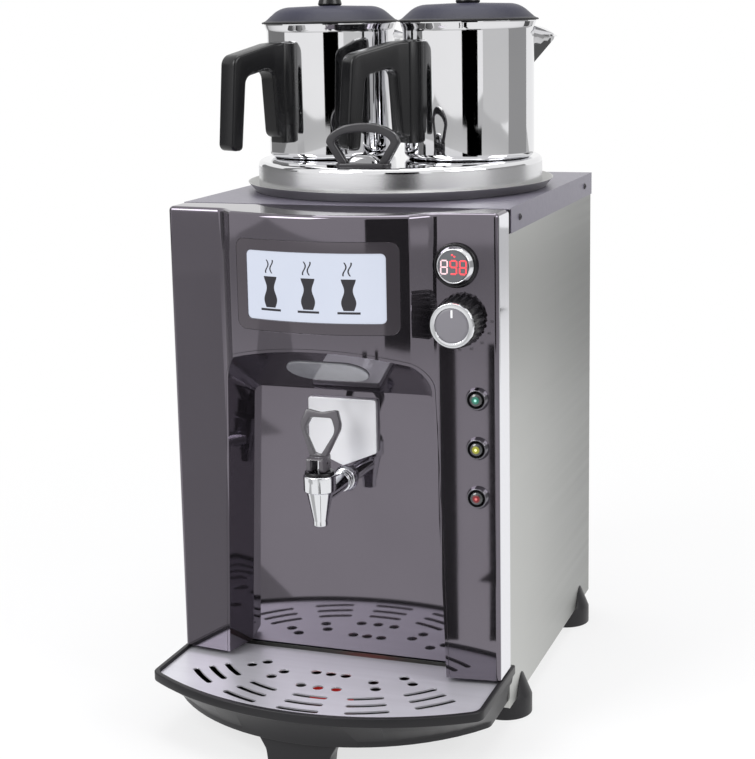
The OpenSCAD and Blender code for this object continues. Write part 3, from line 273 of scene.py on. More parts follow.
def lens(coords, colour, spark, glow, at, half=3.6):
    # signal lamp: a small coloured middle with a spark in it, in smoky glass
    away = awayFrom(coords, at)
    inside = away.below(half, 0.9)
    bright = away.below(half * 0.35, 0.5).mixed(colour, spark)
    cloud = pattern(coords, "lampCloud")
    smoke = cloud.mixed(rgb(52, 54, 54), rgb(66, 67, 68))
    return dict(Base_Color=inside.mixed(smoke, bright), Emission_Color=inside.mixed((0, 0, 0, 1), bright),
                Emission_Strength=glow, Roughness=0.15 + (cloud - 0.5) * 0.04, Coat_Weight=0.6)


def bezels(coords, colour, shadow, rough, hollow, at, pitch):
    # rings of the signal lamps, with painted shade in their hollows
    dark = awayFrom(coords, at, pitch).below(hollow, 0.15)
    return dict(Base_Color=dark.mixed(driftOf(coords, colour), shadow), Metallic=1 - dark * 0.7,
                Roughness=rough + dark * 0.1 + dustOf(coords, 0.04), Normal=bump(pattern(coords, "wave"), 0.01))


def domed(coords, colour, rim, rough, rimZ):
    # teapot lid: the rolled rim under the dome is black, and the dome is painted darker towards its foot, as
    # painted shade
    height = coords.axis("z")
    dome = height.below((rimZ + 5) * mm, 9 * mm).mixed(driftOf(coords, colour, "lidDrift"), shade(colour, 0.5))
    return dict(Base_Color=height.below(rimZ * mm, 0.3 * mm).mixed(dome, rim), Specular_IOR_Level=0.3,
                Roughness=rough + dustOf(coords, 0.08, "lidDust"),
                Normal=bump(pattern(coords, "lidWave"), 0.01))


def skirted(coords, colour, rough, skirtZ):
    # tank lid: polished top over a satin skirt with lines round it
    skirt = coords.axis("z").below(skirtZ * mm, 0.6 * mm)
    lines = noise(coords, 60, 4, (0.02, 0.02, 12))
    return dict(Base_Color=skirt.mixed(colour, lines.between(colour, 0.93, 1.03)), Metallic=1.0,
                Roughness=rough + skirt * 0.22 + dustOf(coords, 0.03), Normal=bump(lines * skirt, 0.05))


def picture(coords, tall, soft, steam, paper, ink, **sign):
    # backlit diffuser with a row of waisted tea glasses and curls of steam over each
    x = coords.axis("x") * 1000
    rise = coords.axis("z") * 1000 - sign["z"] - sign["foot"]
    turn = 2 * math.pi / sign["wave"]
    swell = (rise * (turn / tall) + math.pi / 2 - turn * sign["belly"]).sine() * sign["swell"]
    half = swell + sign["waist"]
    inHeight = (rise - tall / 2).size().below(tall / 2, soft)
    inSaucer = (rise + sign["saucerDrop"]).size().below(sign["saucerThick"] / 2, soft)
    inSteam = (rise - tall - sign["steamGap"] - steam / 2).size().below(steam / 2, soft)
    marks = 0.0
    for spot in sign["spots"]:
        off = (x - spot).size()
        marks = marks + inHeight * (off - half).below(0.0, soft)
        marks = marks + inSaucer * off.below(sign["saucerHalf"], soft)
        for shift in sign["curls"]:
            curl = (x - spot - shift - (rise * sign["curlTurn"] + shift).sine() * sign["curlSwing"]).size()
            marks = marks + inSteam * curl.below(sign["curlHalf"], soft)
    inked = (1 - marks).below(0.5, 0.45)
    glowing = pattern(coords, "paper").mixed(paper, sign["brightPaper"])
    return dict(Base_Color=inked.mixed(shade(paper, sign["sheet"]), ink),
                Emission_Color=inked.mixed(glowing, ink), Emission_Strength=sign["glow"],
                Roughness=0.16 + dustOf(coords, 0.06, "signDust"))


lampPitch = middle("green_lamp").z - middle("amber_lamp").z
looks = {
    gloss: {
        "framePlastic": dict(colour=rgb(92, 87, 93), rough=0.08, metal=0.6, dust=0.03, wave=0.006),
        "screw_black": dict(colour=rgb(58, 56, 60), rough=0.34, metal=0.7, dust=0.1, wave=0.02),
        "cover_paint": dict(colour=rgb(112, 108, 122), rough=0.34, metal=0.35, dust=0.1, wave=0.03),
        "mirror_steel": dict(colour=rgb(226, 226, 228), rough=0.045, dust=0.03, wave=0.004),
        "chrome": dict(colour=rgb(228, 229, 232), rough=0.07),
        "shieldPlate": dict(colour=rgb(236, 236, 240), rough=0.3, metal=0.45, wave=0.02),
        # the dish is chrome; its darker grey is painted shade standing in for the dark reflection it shows
        "dishMetal": dict(colour=rgb(150, 150, 152), rough=0.08),
    },
    moulding: {
        # side: the near-white of the outer sides is a painted reflection, not the moulding's own colour
        "front_moulding": dict(colour=rgb(113, 108, 116), side=rgb(226, 226, 231), rough=0.045, metal=0.92,
                               dust=0.03, wave=0.006, edgeX=highOf("front_panel").x - 0.4),
    },
    brushed: {
        "side_steel": dict(colour=rgb(184, 185, 182), rough=0.36, scale=120, stretch=(1, 0.02, 1),
                           depth=0.06),
        # rear: a darker colour painted over the back of the side panels, as painted shade
        "sideSteel": dict(colour=rgb(190, 191, 188), rear=rgb(128, 129, 127), rough=0.34, scale=120,
                          stretch=(1, 0.02, 1), depth=0.06),
        "inner_steel": dict(colour=rgb(180, 180, 178), rough=0.35, scale=90, stretch=(0.05, 0.05, 1)),
        "zinc": dict(colour=rgb(176, 176, 178), rough=0.28, scale=300, stretch=(1, 1, 1)),
        "gridSteel": dict(colour=rgb(226, 225, 233), rough=0.4, metal=0.55, scale=160, stretch=(0.03, 1, 1),
                          depth=0.05),
    },
    grained: {
        "tray_plastic": dict(colour=rgb(24, 23, 26), rough=0.42, grain=0.05, specular=0.35),
        "foot_rubber": dict(colour=rgb(28, 27, 30), rough=0.42, grain=0.1, specular=0.35),
        "black_plastic": dict(colour=rgb(20, 20, 22), rough=0.26, grain=0.04, specular=0.35),
        "grey_plastic": dict(colour=rgb(84, 81, 86), rough=0.2, grain=0.03),
        "capPlastic": dict(colour=rgb(124, 122, 128), rough=0.34, grain=0.03),
        "handlePlastic": dict(colour=rgb(50, 49, 52), rough=0.2, grain=0.03),
        "wool": dict(colour=rgb(206, 196, 164), rough=0.9, grain=0.8, scale=300),
        "silicone": dict(colour=rgb(224, 222, 216), rough=0.5, grain=0.05),
        "ceramic": dict(colour=rgb(236, 233, 226), rough=0.35, grain=0.04),
        "circuit": dict(colour=rgb(230, 230, 226), rough=0.5, grain=0.1),
        "printedMark": dict(colour=rgb(238, 238, 240), rough=0.4, grain=0.02),
    },
    lit: {
        "lamp_glass": dict(colour=rgb(132, 133, 138), rough=0.12, glow=0.0),
        "display_face": dict(colour=rgb(96, 98, 102), rough=0.3, glow=0.05),
        "digitGlow": dict(colour=rgb(236, 64, 72), rough=0.3, glow=1.2),
        "paleGlow": dict(colour=rgb(226, 190, 196), rough=0.3, glow=0.7),
        # the float is no lamp: its glow is painted light
        "float_red": dict(colour=rgb(206, 40, 34), rough=0.3, glow=0.4),
    },
    lens: {
        "green_lens": dict(colour=rgb(18, 96, 78), spark=rgb(150, 220, 204), glow=0.5,
                           at=middle("green_lamp")),
        "amber_lens": dict(colour=rgb(128, 128, 22), spark=rgb(232, 236, 160), glow=0.5,
                           at=middle("amber_lamp")),
        "red_lens": dict(colour=rgb(104, 10, 16), spark=rgb(200, 84, 88), glow=0.35, at=middle("red_lamp")),
    },
    bezels: {
        "lampRings": dict(colour=rgb(118, 116, 122), shadow=rgb(30, 30, 33), rough=0.12, hollow=8.7,
                          at=middle("green_lamp"), pitch=lampPitch),
    },
    domed: {
        "navy_plastic": dict(colour=rgb(34, 34, 54), rim=rgb(14, 14, 17), rough=0.46,
                             rimZ=highOf("left_pot").z + 2.4),
    },
    skirted: {
        "lidSteel": dict(colour=rgb(226, 226, 228), rough=0.045, skirtZ=highOf("tank_lid").z - 5.2),
    },
    picture: {
        "sign_diffuser": dict(spots=(-44, -4, 36), foot=-21, tall=30, waist=5.7, swell=1.5, wave=0.78,
                              belly=0.25, saucerDrop=2.2, saucerThick=2.2, saucerHalf=11.0, steam=13,
                              steamGap=3, curls=(-3.4, 1.6), curlTurn=0.42, curlSwing=1.5, curlHalf=0.75,
                              soft=0.3, glow=0.55, sheet=0.35, z=middle("sign_window").z,
                              paper=rgb(214, 221, 238), brightPaper=rgb(226, 231, 243), ink=rgb(34, 33, 38)),
    },
}
finishes = {}
for kind, group in looks.items():
    for name, look in group.items():
        finishes[name], shader, coords = startFinish(camel(name))
        feed(shader, **kind(coords, **look))
print("finishes ready:", len(finishes))


# modelling helpers

def leaveEdit():
    if bpy.context.object and bpy.context.object.mode == "EDIT":
        bpy.ops.object.mode_set(mode="OBJECT")


def pickOnly(piece):
    leaveEdit()
    bpy.ops.object.select_all(action="DESELECT")
    piece.select_set(True)
    bpy.context.view_layer.objects.active = piece


def pickMesh(action="SELECT"):
    # all or nothing of the active mesh, in edit mode
    bpy.ops.object.mode_set(mode="EDIT")
    bpy.ops.mesh.select_all(action=action)


def openMesh(piece):
    # the active piece's mesh in edit mode, nothing picked
    pickMesh("DESELECT")
    shape = bmesh.from_edit_mesh(piece.data)
    shape.verts.ensure_lookup_table()
    return shape


def named(piece, name):
    piece.name = piece.data.name = name
    return piece


def addNew(name, operator, **settings):
    leaveEdit()
    bpy.ops.object.select_all(action="DESELECT")
    operator(**settings)
    return named(bpy.context.object, name)


def twin(piece, name):
    pickOnly(piece)
    bpy.ops.object.duplicate()
    return named(bpy.context.object, name)


def pullTo(points):
    # the newest vertices of the mesh go to these places
    mesh = bpy.context.object.data
    shape = bmesh.from_edit_mesh(mesh)
    shape.verts.ensure_lookup_table()
    newest = shape.verts[-len(points):]
    for vert, point in zip(newest, points):
        vert.co = Vector(point) * mm
    bmesh.update_edit_mesh(mesh)
    return shape, newest


def startLoop(name, points, closed=True):
    # a ring of vertices, one for each point; opened between its last and first
    piece = addNew(name, bpy.ops.mesh.primitive_circle_add, vertices=len(points), radius=0.01)
    pickMesh()
    shape, newest = pullTo(points)
    if not closed:
        pickMesh("DESELECT")
        shape.edges.get((newest[0], newest[-1])).select_set(True)
        bpy.ops.mesh.delete(type="EDGE")
    return piece


def mendSkin():
    pickMesh()
    bpy.ops.mesh.remove_doubles(threshold=2e-6)
    bpy.ops.mesh.normals_make_consistent(inside=False)
    leaveEdit()


def smooth(piece, angle=35):
    pickOnly(piece)
    bpy.ops.object.shade_smooth_by_angle(angle=math.radians(angle))


def modify(piece, kind, **settings):
    pickOnly(piece)
    step = piece.modifiers.new(kind.lower(), kind)
    setAll(step, **settings)
    bpy.ops.object.modifier_apply(modifier=step.name)


def soften(piece, width, segments=3, sharp=30, smoothAngle=35):
    modify(piece, "BEVEL", width=width * mm, segments=segments, limit_method="ANGLE",
           angle_limit=math.radians(sharp))
    smooth(piece, smoothAngle)


def setDown(piece, place, turn=(0, 0, 0)):
    pickOnly(piece)
    piece.rotation_euler = [math.radians(a) for a in turn]
    piece.location = Vector(place) * mm
    bpy.ops.object.transform_apply(location=True, rotation=True, scale=True)


def copyPiece(piece, name, place, turn):
    copy = twin(piece, name)
    setDown(copy, place, turn)
    return copy


def dropPiece(piece):
    pickOnly(piece)
    bpy.ops.object.delete()


def cutAway(piece, cutter):
    modify(piece, "BOOLEAN", operation="DIFFERENCE", object=cutter, solver="EXACT")
    dropPiece(cutter)


def joinAll(name, pieces):
    pickOnly(pieces[0])
    for piece in pieces[1:]:
        piece.select_set(True)
    bpy.ops.object.join()
    return named(pieces[0], name)


def sinkFaces(piece, chosen, border, slope, deep):
    # the chosen faces are inset to leave a border and then pushed in
    shape = openMesh(piece)
    for face in shape.faces:
        face.select_set(chosen(face))
    bmesh.update_edit_mesh(piece.data)
    bpy.ops.mesh.inset(thickness=border * mm, depth=0)
    bpy.ops.mesh.inset(thickness=slope * mm, depth=-deep * mm)
    leaveEdit()


def roundCorners(points, radii, steps=6):
    # a closed path with each corner drawn as an arc
    path = []
    for i, radius in enumerate(radii):
        before, corner, after = (Vector(points[k % len(points)]) for k in (i - 1, i, i + 1))
        if radius == 0:
            path.append(tuple(corner))
            continue
        toBefore, toAfter = (before - corner).normalized(), (after - corner).normalized()
        half = toBefore.angle(toAfter) / 2
        reach = min(radius / math.tan(half), 0.49 * (before - corner).length, 0.49 * (after - corner).length)
        radius = reach * math.tan(half)
        centre = corner + (toBefore + toAfter).normalized() * radius / math.sin(half)
        start, end = corner + toBefore * reach - centre, corner + toAfter * reach - centre
        path += [tuple(centre + start.slerp(end, k / steps) * radius) for k in range(steps + 1)]
    return path


def turnPiece(name, profile, closed=False, steps=96):
    # profile of (radius, height) spun about the upright axis
    piece = startLoop(name, [(r, 0, h) for r, h in profile], closed)
    pickMesh()
    bpy.ops.mesh.spin(steps=steps, angle=2 * math.pi, center=(0, 0, 0), axis=(0, 0, 1))
    mendSkin()
    smooth(piece)
    return piece


def cutPlate(name, outline, thick, along):
    # an outline across one axis, filled and drawn out along it, centred on its thickness
    axis = "xyz".index(along)
    points = []
    for a, b in outline:
        point = [a, b]
        point.insert(axis, -thick / 2)
        points.append(point)
    piece = startLoop(name, points)
    pickMesh()
    bpy.ops.mesh.edge_face_add()
    move = [0, 0, 0]
    move[axis] = thick * mm
    bpy.ops.mesh.extrude_region_move(TRANSFORM_OT_translate={"value": move})
    mendSkin()
    return piece


def loftPiece(name, loops):
    # rings of equal count bridged one to the next, the first and last filled
    piece = startLoop(name, loops[0])
    pickMesh()
    bpy.ops.mesh.edge_face_add()
    for loop in loops[1:]:
        bpy.ops.mesh.primitive_circle_add(vertices=len(loop), radius=0.01)
        pullTo(loop)
    count = len(loops[0])
    for first in range(len(loops) - 1):
        shape = openMesh(piece)
        for start in (first * count, (first + 1) * count):
            ring = shape.verts[start:start + count]
            for i, vert in enumerate(ring):
                shape.edges.get((ring[i - 1], vert)).select_set(True)
        bpy.ops.mesh.bridge_edge_loops()
    shape = openMesh(piece)
    for vert in shape.verts[-count:]:
        vert.select_set(True)
    shape.select_flush(True)
    bpy.ops.mesh.edge_face_add()
    mendSkin()
    return piece


def coat(piece, finish):
    piece.data.materials.clear()
    piece.data.materials.append(finishes[finish])


def mark(piece, finish, node):
    # a piece on the body of the node that carries it
    coat(piece, finish)
    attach(piece, bodyOf[node])


def carry(piece, node, finish=None):
    # the piece takes the place, the body and the finish of this node
    mark(piece, finish or slotOf[node], node)
    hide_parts(node)


def turnNode(node, profile, corners, place, turn=(0, 0, 0), steps=96, finish=None):
    # a node made from a closed profile with rounded corners
    piece = turnPiece(camel(node), roundCorners(profile, corners), True, steps)
    setDown(piece, place, turn)
    carry(piece, node, finish)


def crownEdges(piece, width, rear):
    # the top outer edges of a piece, but not those at its rear, get a wider rounding
    shape = bmesh.new()
    shape.from_mesh(piece.data)
    top = max(vert.co.z for vert in shape.verts)
    back = max(vert.co.y for vert in shape.verts) - rear * mm
    weight = shape.edges.layers.float.new("bevel_weight_edge")
    for edge in shape.edges:
        level = all(vert.co.z > top - 1e-5 and vert.co.y < back for vert in edge.verts)
        edge[weight] = 1.0 if level and edge.calc_face_angle(0) > 1 else 0.0
    shape.to_mesh(piece.data)
    shape.free()
    modify(piece, "BEVEL", width=width * mm, segments=5, limit_method="WEIGHT")


def dressNode(node, edge, segments=2, dissolve=True, crown=None, finish=None):
    # a merged copy of a construction node with its edges softened
    piece = twin(cadNodes[node], camel(node))
    for key in list(piece.keys()):
        del piece[key]
    piece.parent = None
    piece.matrix_world = Matrix.Identity(4)
    pickMesh()
    bpy.ops.mesh.remove_doubles(threshold=1e-5)
    if dissolve:
        bpy.ops.mesh.dissolve_limited(angle_limit=math.radians(0.2))
    mendSkin()
    if crown:
        crownEdges(piece, *crown)
    if edge:
        soften(piece, edge, segments)
    else:
        smooth(piece)
    modify(piece, "WEIGHTED_NORMAL", weight=100, keep_sharp=True)
    carry(piece, node, finish)


# casing and front

headerReach = 46
caseFront = lowOf("front_panel").y + headerReach
facing = (90, 0, 0)

sheet = dict(edge=0.3, finish="sideSteel")
rubber = dict(edge=1.4, segments=3)
casing = {
    "base_plate": dict(edge=0),
    "back_panel": dict(edge=0.3),
    "top_cover": dict(edge=0.45),
    "left_side_panel": sheet,
    "right_side_panel": sheet,
    "front_left_foot": rubber,
    "front_right_foot": rubber,
    "rear_left_foot": rubber,
    "rear_right_foot": rubber,
    "niche_liner": dict(edge=0.7, segments=3),
    "sign_window": dict(edge=0.2, segments=3),
    "niche_lamp": dict(edge=0.8, segments=3),
    "front_panel": dict(edge=0.9, segments=3, crown=(4.5, 1)),
    "sign_frame": dict(edge=1.1, segments=3, finish="framePlastic"),
}
for node, settings in casing.items():
    dressNode(node, **settings)
print("casing and front dressed")

screw = Sizes(head=3.5, rise=2.0, shank=1.5, length=6.5, slot=0.9, reach=3.6, deep=1.1, sideDepths=(78, 366),
              sideZ=512.75, backX=159, backZ=(490.5, 42))


def screwHead():
    r, h = screw.head, screw.rise
    profile = [(0, h), (r * 0.45, h * 0.93), (r * 0.78, h * 0.66), (r * 0.95, h * 0.3), (r, 0),
               (screw.shank, 0), (screw.shank, -screw.length + 1), (0, -screw.length)]
    head = turnPiece("screwHead", profile, steps=32)
    for turn in (0, 90):
        blade = addNew("screwBlade", bpy.ops.mesh.primitive_cube_add, size=mm)
        blade.scale = (screw.reach, screw.slot, 2 * screw.deep)
        setDown(blade, (0, 0, h), (0, 0, turn))
        cutAway(head, blade)
    smooth(head)
    return head


headSource = screwHead()
screwsLow, screwsHigh = lowOf("case_screws"), highOf("case_screws")
screwSpots = []
for depth in screw.sideDepths:
    for x, turn in ((screwsHigh.x - screw.rise, 90), (screwsLow.x + screw.rise, -90)):
        screwSpots.append(((x, caseFront + depth, screw.sideZ), (0, turn, 0)))
for z in screw.backZ:
    for x in (-screw.backX, screw.backX):
        screwSpots.append(((x, screwsHigh.y - screw.rise, z), (-90, 0, 0)))
heads = [copyPiece(headSource, "caseScrew", place, turn) for place, turn in screwSpots]
dropPiece(headSource)
carry(joinAll("caseScrews", heads), "case_screws")
print("screws placed:", len(screwSpots))

# display

display = Sizes(outer=22, lip=21, bore=18.77, proud=4.6, back=-8.0, ringOut=18.73, ringFront=16.25,
                ringIn=15.25, ringRise=4.5)
displayAt = (middle("display_bezel").x, lowOf("display_bezel").y, middle("display_bezel").z)


def displayPieces():
    d = display
    turnNode("display_bezel", [(d.bore, 0), (d.lip, 0), (d.outer, -d.proud), (d.outer, d.back),
                               (d.bore, d.back)], [0.9, 1.8, 0.8, 0, 0], displayAt, facing)
    turnNode("display_ring", [(d.ringFront, d.ringRise), (d.ringOut, 0.2), (d.ringOut, d.back),
                              (d.ringIn, d.back), (d.ringIn, d.ringRise)],
             [0.5, 1.0, 0, 0, 0.3], displayAt, facing)


displayPieces()

digit = Sizes(tall=12.6, wide=6.2, bar=1.4, thick=0.3, edge=0.25, pitch=9.2, lean=2, drop=1, dash=1.8,
              dashes=((-1.2, 11.6), (1.0, 10.2)))
segmentsOn = {8: "abcdefg", 9: "abcdfg"}


def barAt(x, z, length, upright):
    bar = addNew("digitBar", bpy.ops.mesh.primitive_cube_add, size=mm)
    bar.scale = (digit.bar, digit.thick, length) if upright else (length, digit.thick, digit.bar)
    setDown(bar, (x, 0, z))
    modify(bar, "BEVEL", width=digit.edge * mm, segments=2)
    return bar


def digitBars(value, x):
    h, w = digit.tall / 2, digit.wide / 2
    spots = {"a": (0, h, False), "g": (0, 0, False), "d": (0, -h, False), "b": (w, h / 2, True),
             "c": (w, -h / 2, True), "e": (-w, -h / 2, True), "f": (-w, h / 2, True)}
    length = {True: h - digit.bar * 0.6, False: digit.wide - digit.bar * 0.9}
    slant = math.tan(math.radians(digit.lean))
    bars = []
    for name in segmentsOn[value]:
        dx, dz, upright = spots[name]
        bars.append(barAt(x + dx + dz * slant, dz, length[upright], upright))
    return bars


def showDigits(name, values, finish, dashes=()):
    bars = []
    for value, column in values:
        bars += digitBars(value, column * digit.pitch)
    bars += [barAt(x, z, digit.dash, False) for x, z in dashes]
    piece = joinAll(name, bars)
    faceY = lowOf("display_module").y
    setDown(piece, (displayAt[0], faceY - digit.thick / 2, displayAt[2] - digit.drop))
    mark(piece, finish, "display_module")


showDigits("paleDigit", ((8, -1),), "paleGlow")
showDigits("redDigits", ((9, 0), (8, 1)), "digitGlow", digit.dashes)
print("display built")

# knob and its dial

knob = Sizes(foot=25, top=22.5, tall=25, ribs=24, ribDepth=0.93, edge=1.0)
knobRing = Sizes(profile=((16.55, -0.4), (16.55, 2.3), (20.9, 2.5), (21.5, 0), (21.5, -0.4)),
                 corners=(0, 0.5, 0.6, 0.2, 0))
knobCap = Sizes(profile=((0, 1.75), (13.5, 1.75), (15.9, 1.5), (16.5, 1.0), (16.5, -0.3), (0, -0.3)),
                rise=1.75)
knobPointer = Sizes(half=1, low=7.3, high=14.8, thick=0.5, corner=0.5, edge=0.12)
knobAt = (middle("control_knob").x, highOf("control_knob").y, middle("control_knob").z)
knobFace = (knobAt[0], lowOf("control_knob").y, knobAt[2])


def knobBody():
    # ribs from every other pair of edges of the barrel drawn inwards
    sides = knob.ribs * 4
    piece = addNew("controlKnob", bpy.ops.mesh.primitive_cone_add, vertices=sides, radius1=knob.foot * mm,
                   radius2=knob.top * mm, depth=knob.tall * mm, location=(0, 0, knob.tall / 2 * mm))
    bpy.ops.object.transform_apply(location=True, rotation=True, scale=True)
    shape = openMesh(piece)
    for vert in shape.verts:
        step = round(math.atan2(vert.co.y, vert.co.x) / (2 * math.pi) * sides - 0.5) % 4
        vert.select_set(step in (0, 1))
    shape.select_flush(False)
    bmesh.update_edit_mesh(piece.data)
    bpy.ops.transform.resize(value=(knob.ribDepth, knob.ribDepth, 1), center_override=(0, 0, 0))
    leaveEdit()
    soften(piece, knob.edge, segments=3, sharp=20)
    setDown(piece, knobAt, facing)
    carry(piece, "control_knob")


def knobFront():
    turnNode("knob_ring", knobRing.profile, knobRing.corners, knobFace, facing)
    cap = turnPiece("knobCap", knobCap.profile)
    setDown(cap, knobFace, facing)
    carry(cap, "knob_cap", "capPlastic")
    half, low, high = knobPointer.half, knobPointer.low, knobPointer.high
    outline = roundCorners([(-half, low), (half, low), (half, high), (-half, high)], [knobPointer.corner] * 4)
    pointer = cutPlate("knobPointer", outline, knobPointer.thick, "y")
    soften(pointer, knobPointer.edge, 2)
    setDown(pointer, (knobFace[0], knobFace[1] - knobCap.rise, knobFace[2]))
    mark(pointer, "printedMark", "knob_cap")


knobBody()
knobFront()

dial = Sizes(radius=29, first=92, step=23, numbers=(30, 40, 50, 60, 70, 80), tall=3.6, thick=0.06, lean=6.9)


def dialNumber(value, turn):
    # a small printed number on the sloping wing beside the knob
    number = addNew("dialNumber", bpy.ops.object.text_add)
    setAll(number.data, body=str(value), size=dial.tall * mm, align_x="CENTER", align_y="CENTER",
           extrude=dial.thick / 2 * mm)
    bpy.ops.object.convert(target="MESH")
    number = bpy.context.object
    x = dial.radius * math.sin(math.radians(turn))
    z = dial.radius * math.cos(math.radians(turn))
    slope = math.tan(math.radians(dial.lean))
    panelY = caseFront - slope * (highOf("front_panel").x - knobAt[0] - x)
    setDown(number, (knobAt[0] + x, panelY - dial.thick / 2, knobAt[2] + z), (90, 0, dial.lean))
    return number


numbers = [dialNumber(value, dial.first + k * dial.step) for k, value in enumerate(dial.numbers)]
mark(joinAll("dialNumbers", numbers), "black_plastic", "front_panel")
print("knob built")

# signal lamps

lamp = Sizes(outer=11.6, lip=9.5, hollow=8.5, deep=-4, seat=6.3, lens=6.2, proud=5.4, back=-8.0, rise=2,
             lensBack=-20)


def signalLamp(node):
    # the lens takes its node's place; the bezel is returned, because the three share a node
    d = lamp
    at = (middle(node).x, lowOf("lamp_bezels").y, middle(node).z)
    bezel = turnPiece("lampBezel", roundCorners(
        [(d.seat, d.deep), (d.hollow, -0.1), (d.lip, 0), (d.outer, -d.proud),
         (d.outer, d.back), (d.seat, d.back)], [0.2, 0.3, 0.7, 0.5, 0, 0]), True, 64)
    setDown(bezel, at, facing)
    r, rise = d.lens, d.rise
    glass = turnPiece(camel(node), [(0, rise), (r * 0.45, rise - 0.15), (r * 0.75, rise - 0.6), (r * 0.95, 0.5),
                                    (r, -0.6), (r, d.lensBack), (0, d.lensBack)], steps=48)
    setDown(glass, at, facing)
    carry(glass, node)
    return bezel


lampBezels = [signalLamp(node) for node in ("green_lamp", "amber_lamp", "red_lamp")]
carry(joinAll("lampBezels", lampBezels), "lamp_bezels", "lampRings")
print("lamps built")

# tap

tap = Sizes(collar=15.75, collarTall=16.5, collarWall=3, cone=13.25, nozzle=7, bore=5, shank=9, shankStart=8,
            shankBore=4, ring=10.5, ringSpots=(13.5, 8.5))
rosette = Sizes(profile=((9.05, 0), (13.5, 0), (13.5, 1.2), (11, 5), (9.05, 5)),
                corners=(0, 0.4, 1.0, 2.2, 0.3))
bonnet = Sizes(profile=((3.55, -5), (12.7, -5), (12.7, 0), (14.75, 0), (13.9, 3.5), (3.55, 3.5)),
               corners=(0, 0.5, 0, 0.4, 1.4, 0))
tapAt = middle("tap_stem")
tapZ = middle("tap_rosette").z
tapTop = highOf("tap_body").z
wallY = highOf("tap_shield").y


def tapBody():
    low, collarZ, inner = lowOf("tap_body").z, tapTop - tap.collarTall, tap.collar - tap.collarWall
    barrel = turnPiece("tapBarrel", roundCorners(
        [(tap.bore, low), (tap.nozzle, low), (tap.nozzle, low + 5), (tap.cone, collarZ),
         (tap.collar, collarZ), (tap.collar, tapTop), (inner, tapTop), (inner, collarZ + 4),
         (tap.bore, collarZ - 4)], [0.6, 1.0, 4, 1.2, 1.2, 1.6, 0.6, 0, 0]), True)
    setDown(barrel, (0, tapAt.y, 0))
    reach = highOf("tap_body").y - tapAt.y
    wall = wallY - tapAt.y
    profile, corners = [(tap.shank, tap.shankStart)], [0]
    for spot in tap.ringSpots:
        start = wall - spot
        profile += [(tap.shank, start), (tap.ring, start + 0.3), (tap.ring, start + 3.3),
                    (tap.shank, start + 3.5)]
        corners += [0.2, 1.2, 1.2, 0.2]
    profile += [(tap.shank, reach), (tap.shankBore, reach), (tap.shankBore, tap.shankStart)]
    shank = turnPiece("tapShank", roundCorners(profile, corners + [0.5, 0, 0]), True)
    setDown(shank, (0, tapAt.y, tapZ), (-90, 0, 0))
    carry(joinAll("tapBody", [barrel, shank]), "tap_body")


tapBody()
turnNode("tap_rosette", rosette.profile, rosette.corners, (0, wallY, tapZ), facing)
turnNode("tap_bonnet", [(r, tapTop + z) for r, z in bonnet.profile], bonnet.corners, (0, tapAt.y, 0))

shield = Sizes(border=3.0, slope=0.5, sunk=0.9, point=15, edge=0.5)


def tapShield():
    # blank plate: its face inset and pushed back to leave a raised border
    low, high = lowOf("tap_shield"), highOf("tap_shield")
    half, shoulder = high.x, low.z + shield.point
    outline = roundCorners([(0, low.z), (half, shoulder), (half, high.z), (-half, high.z), (-half, shoulder)],
                           [3, 3, 2.5, 2.5, 3], 4)
    piece = cutPlate("tapShield", outline, high.y - low.y, "y")
    sinkFaces(piece, lambda face: face.normal.y < -0.9, shield.border, shield.slope, shield.sunk)
    soften(piece, shield.edge, 3, 25)
    setDown(piece, (0, (low.y + high.y) / 2, 0))
    carry(piece, "tap_shield", "shieldPlate")


tapShield()

lever = Sizes(belly=(20.9, 28.5), horn=(15.6, 44.5), neck=8, foot=-1.5, dip=3, band=4.5, bar=5.2, thick=9,
              lean=-15, edge=1.6, blockWide=17, blockTall=15, blockBack=9, blockEdge=0.8, slotHalf=18,
              slotWide=9, slotRoof=2)


def tapLever():
    # goblet-shaped loop with two horns, on a block that rides on the bonnet
    d = lever
    low = lowOf("tap_lever")
    blockTop = low.z + d.blockTall
    (bellyX, bellyZ), (hornX, hornZ), neck, band = d.belly, d.horn, d.neck, d.band
    path = roundCorners([(neck, d.foot), (bellyX, bellyZ), (hornX, hornZ), (0, hornZ - d.dip),
                         (-hornX, hornZ), (-bellyX, bellyZ), (-neck, d.foot)], [0, 14, 2, 20, 2, 14, 0], 7)
    loop = cutPlate("leverLoop", path, d.thick, "y")
    eyeZ = hornZ - d.dip - d.bar
    inner = [(band - neck, 1), (band - bellyX, bellyZ - band), (band - hornX, eyeZ), (hornX - band, eyeZ),
             (bellyX - band, bellyZ - band), (neck - band, 1)]
    cutAway(loop, cutPlate("leverHole", roundCorners(inner, [1, 12, 3, 3, 12, 1]), 3 * d.thick, "y"))
    soften(loop, d.edge, 4, 40)
    setDown(loop, (0, tapAt.y, blockTop), (d.lean, 0, 0))
    back = tapAt.y + d.blockBack
    side = roundCorners([(low.y, low.z), (back, low.z), (back, blockTop), (low.y, blockTop)], [7, 2, 2, 4])
    block = cutPlate("leverBlock", side, d.blockWide, "x")
    near, far, roof = tapAt.y - d.slotHalf, tapAt.y + d.slotHalf, blockTop - d.slotRoof
    slot = [(near, low.z - 3), (far, low.z - 3), (far, roof), (near, roof)]
    cutAway(block, cutPlate("leverSlot", slot, d.slotWide, "x"))
    soften(block, d.blockEdge, 3, 40)
    carry(joinAll("tapLever", [loop, block]), "tap_lever")


tapLever()
for node in ("tap_stem", "tap_lever_pin"):
    dressNode(node, 0.3)
print("tap built")

# drip tray

tray = Sizes(half=172, reach=127.5, arc=295, footHalf=167, footReach=116.5, footArc=200, corner=14,
             backCorner=2, rim=9.5, rimWide=5, floor=29, wall=3, ledge=3.5, steps=28, edge=1.0)
leg = Sizes(top=42, waist=(33, 17), foot=31, low=0.2, deep=22, setBack=5, lap=4, edge=1.6)


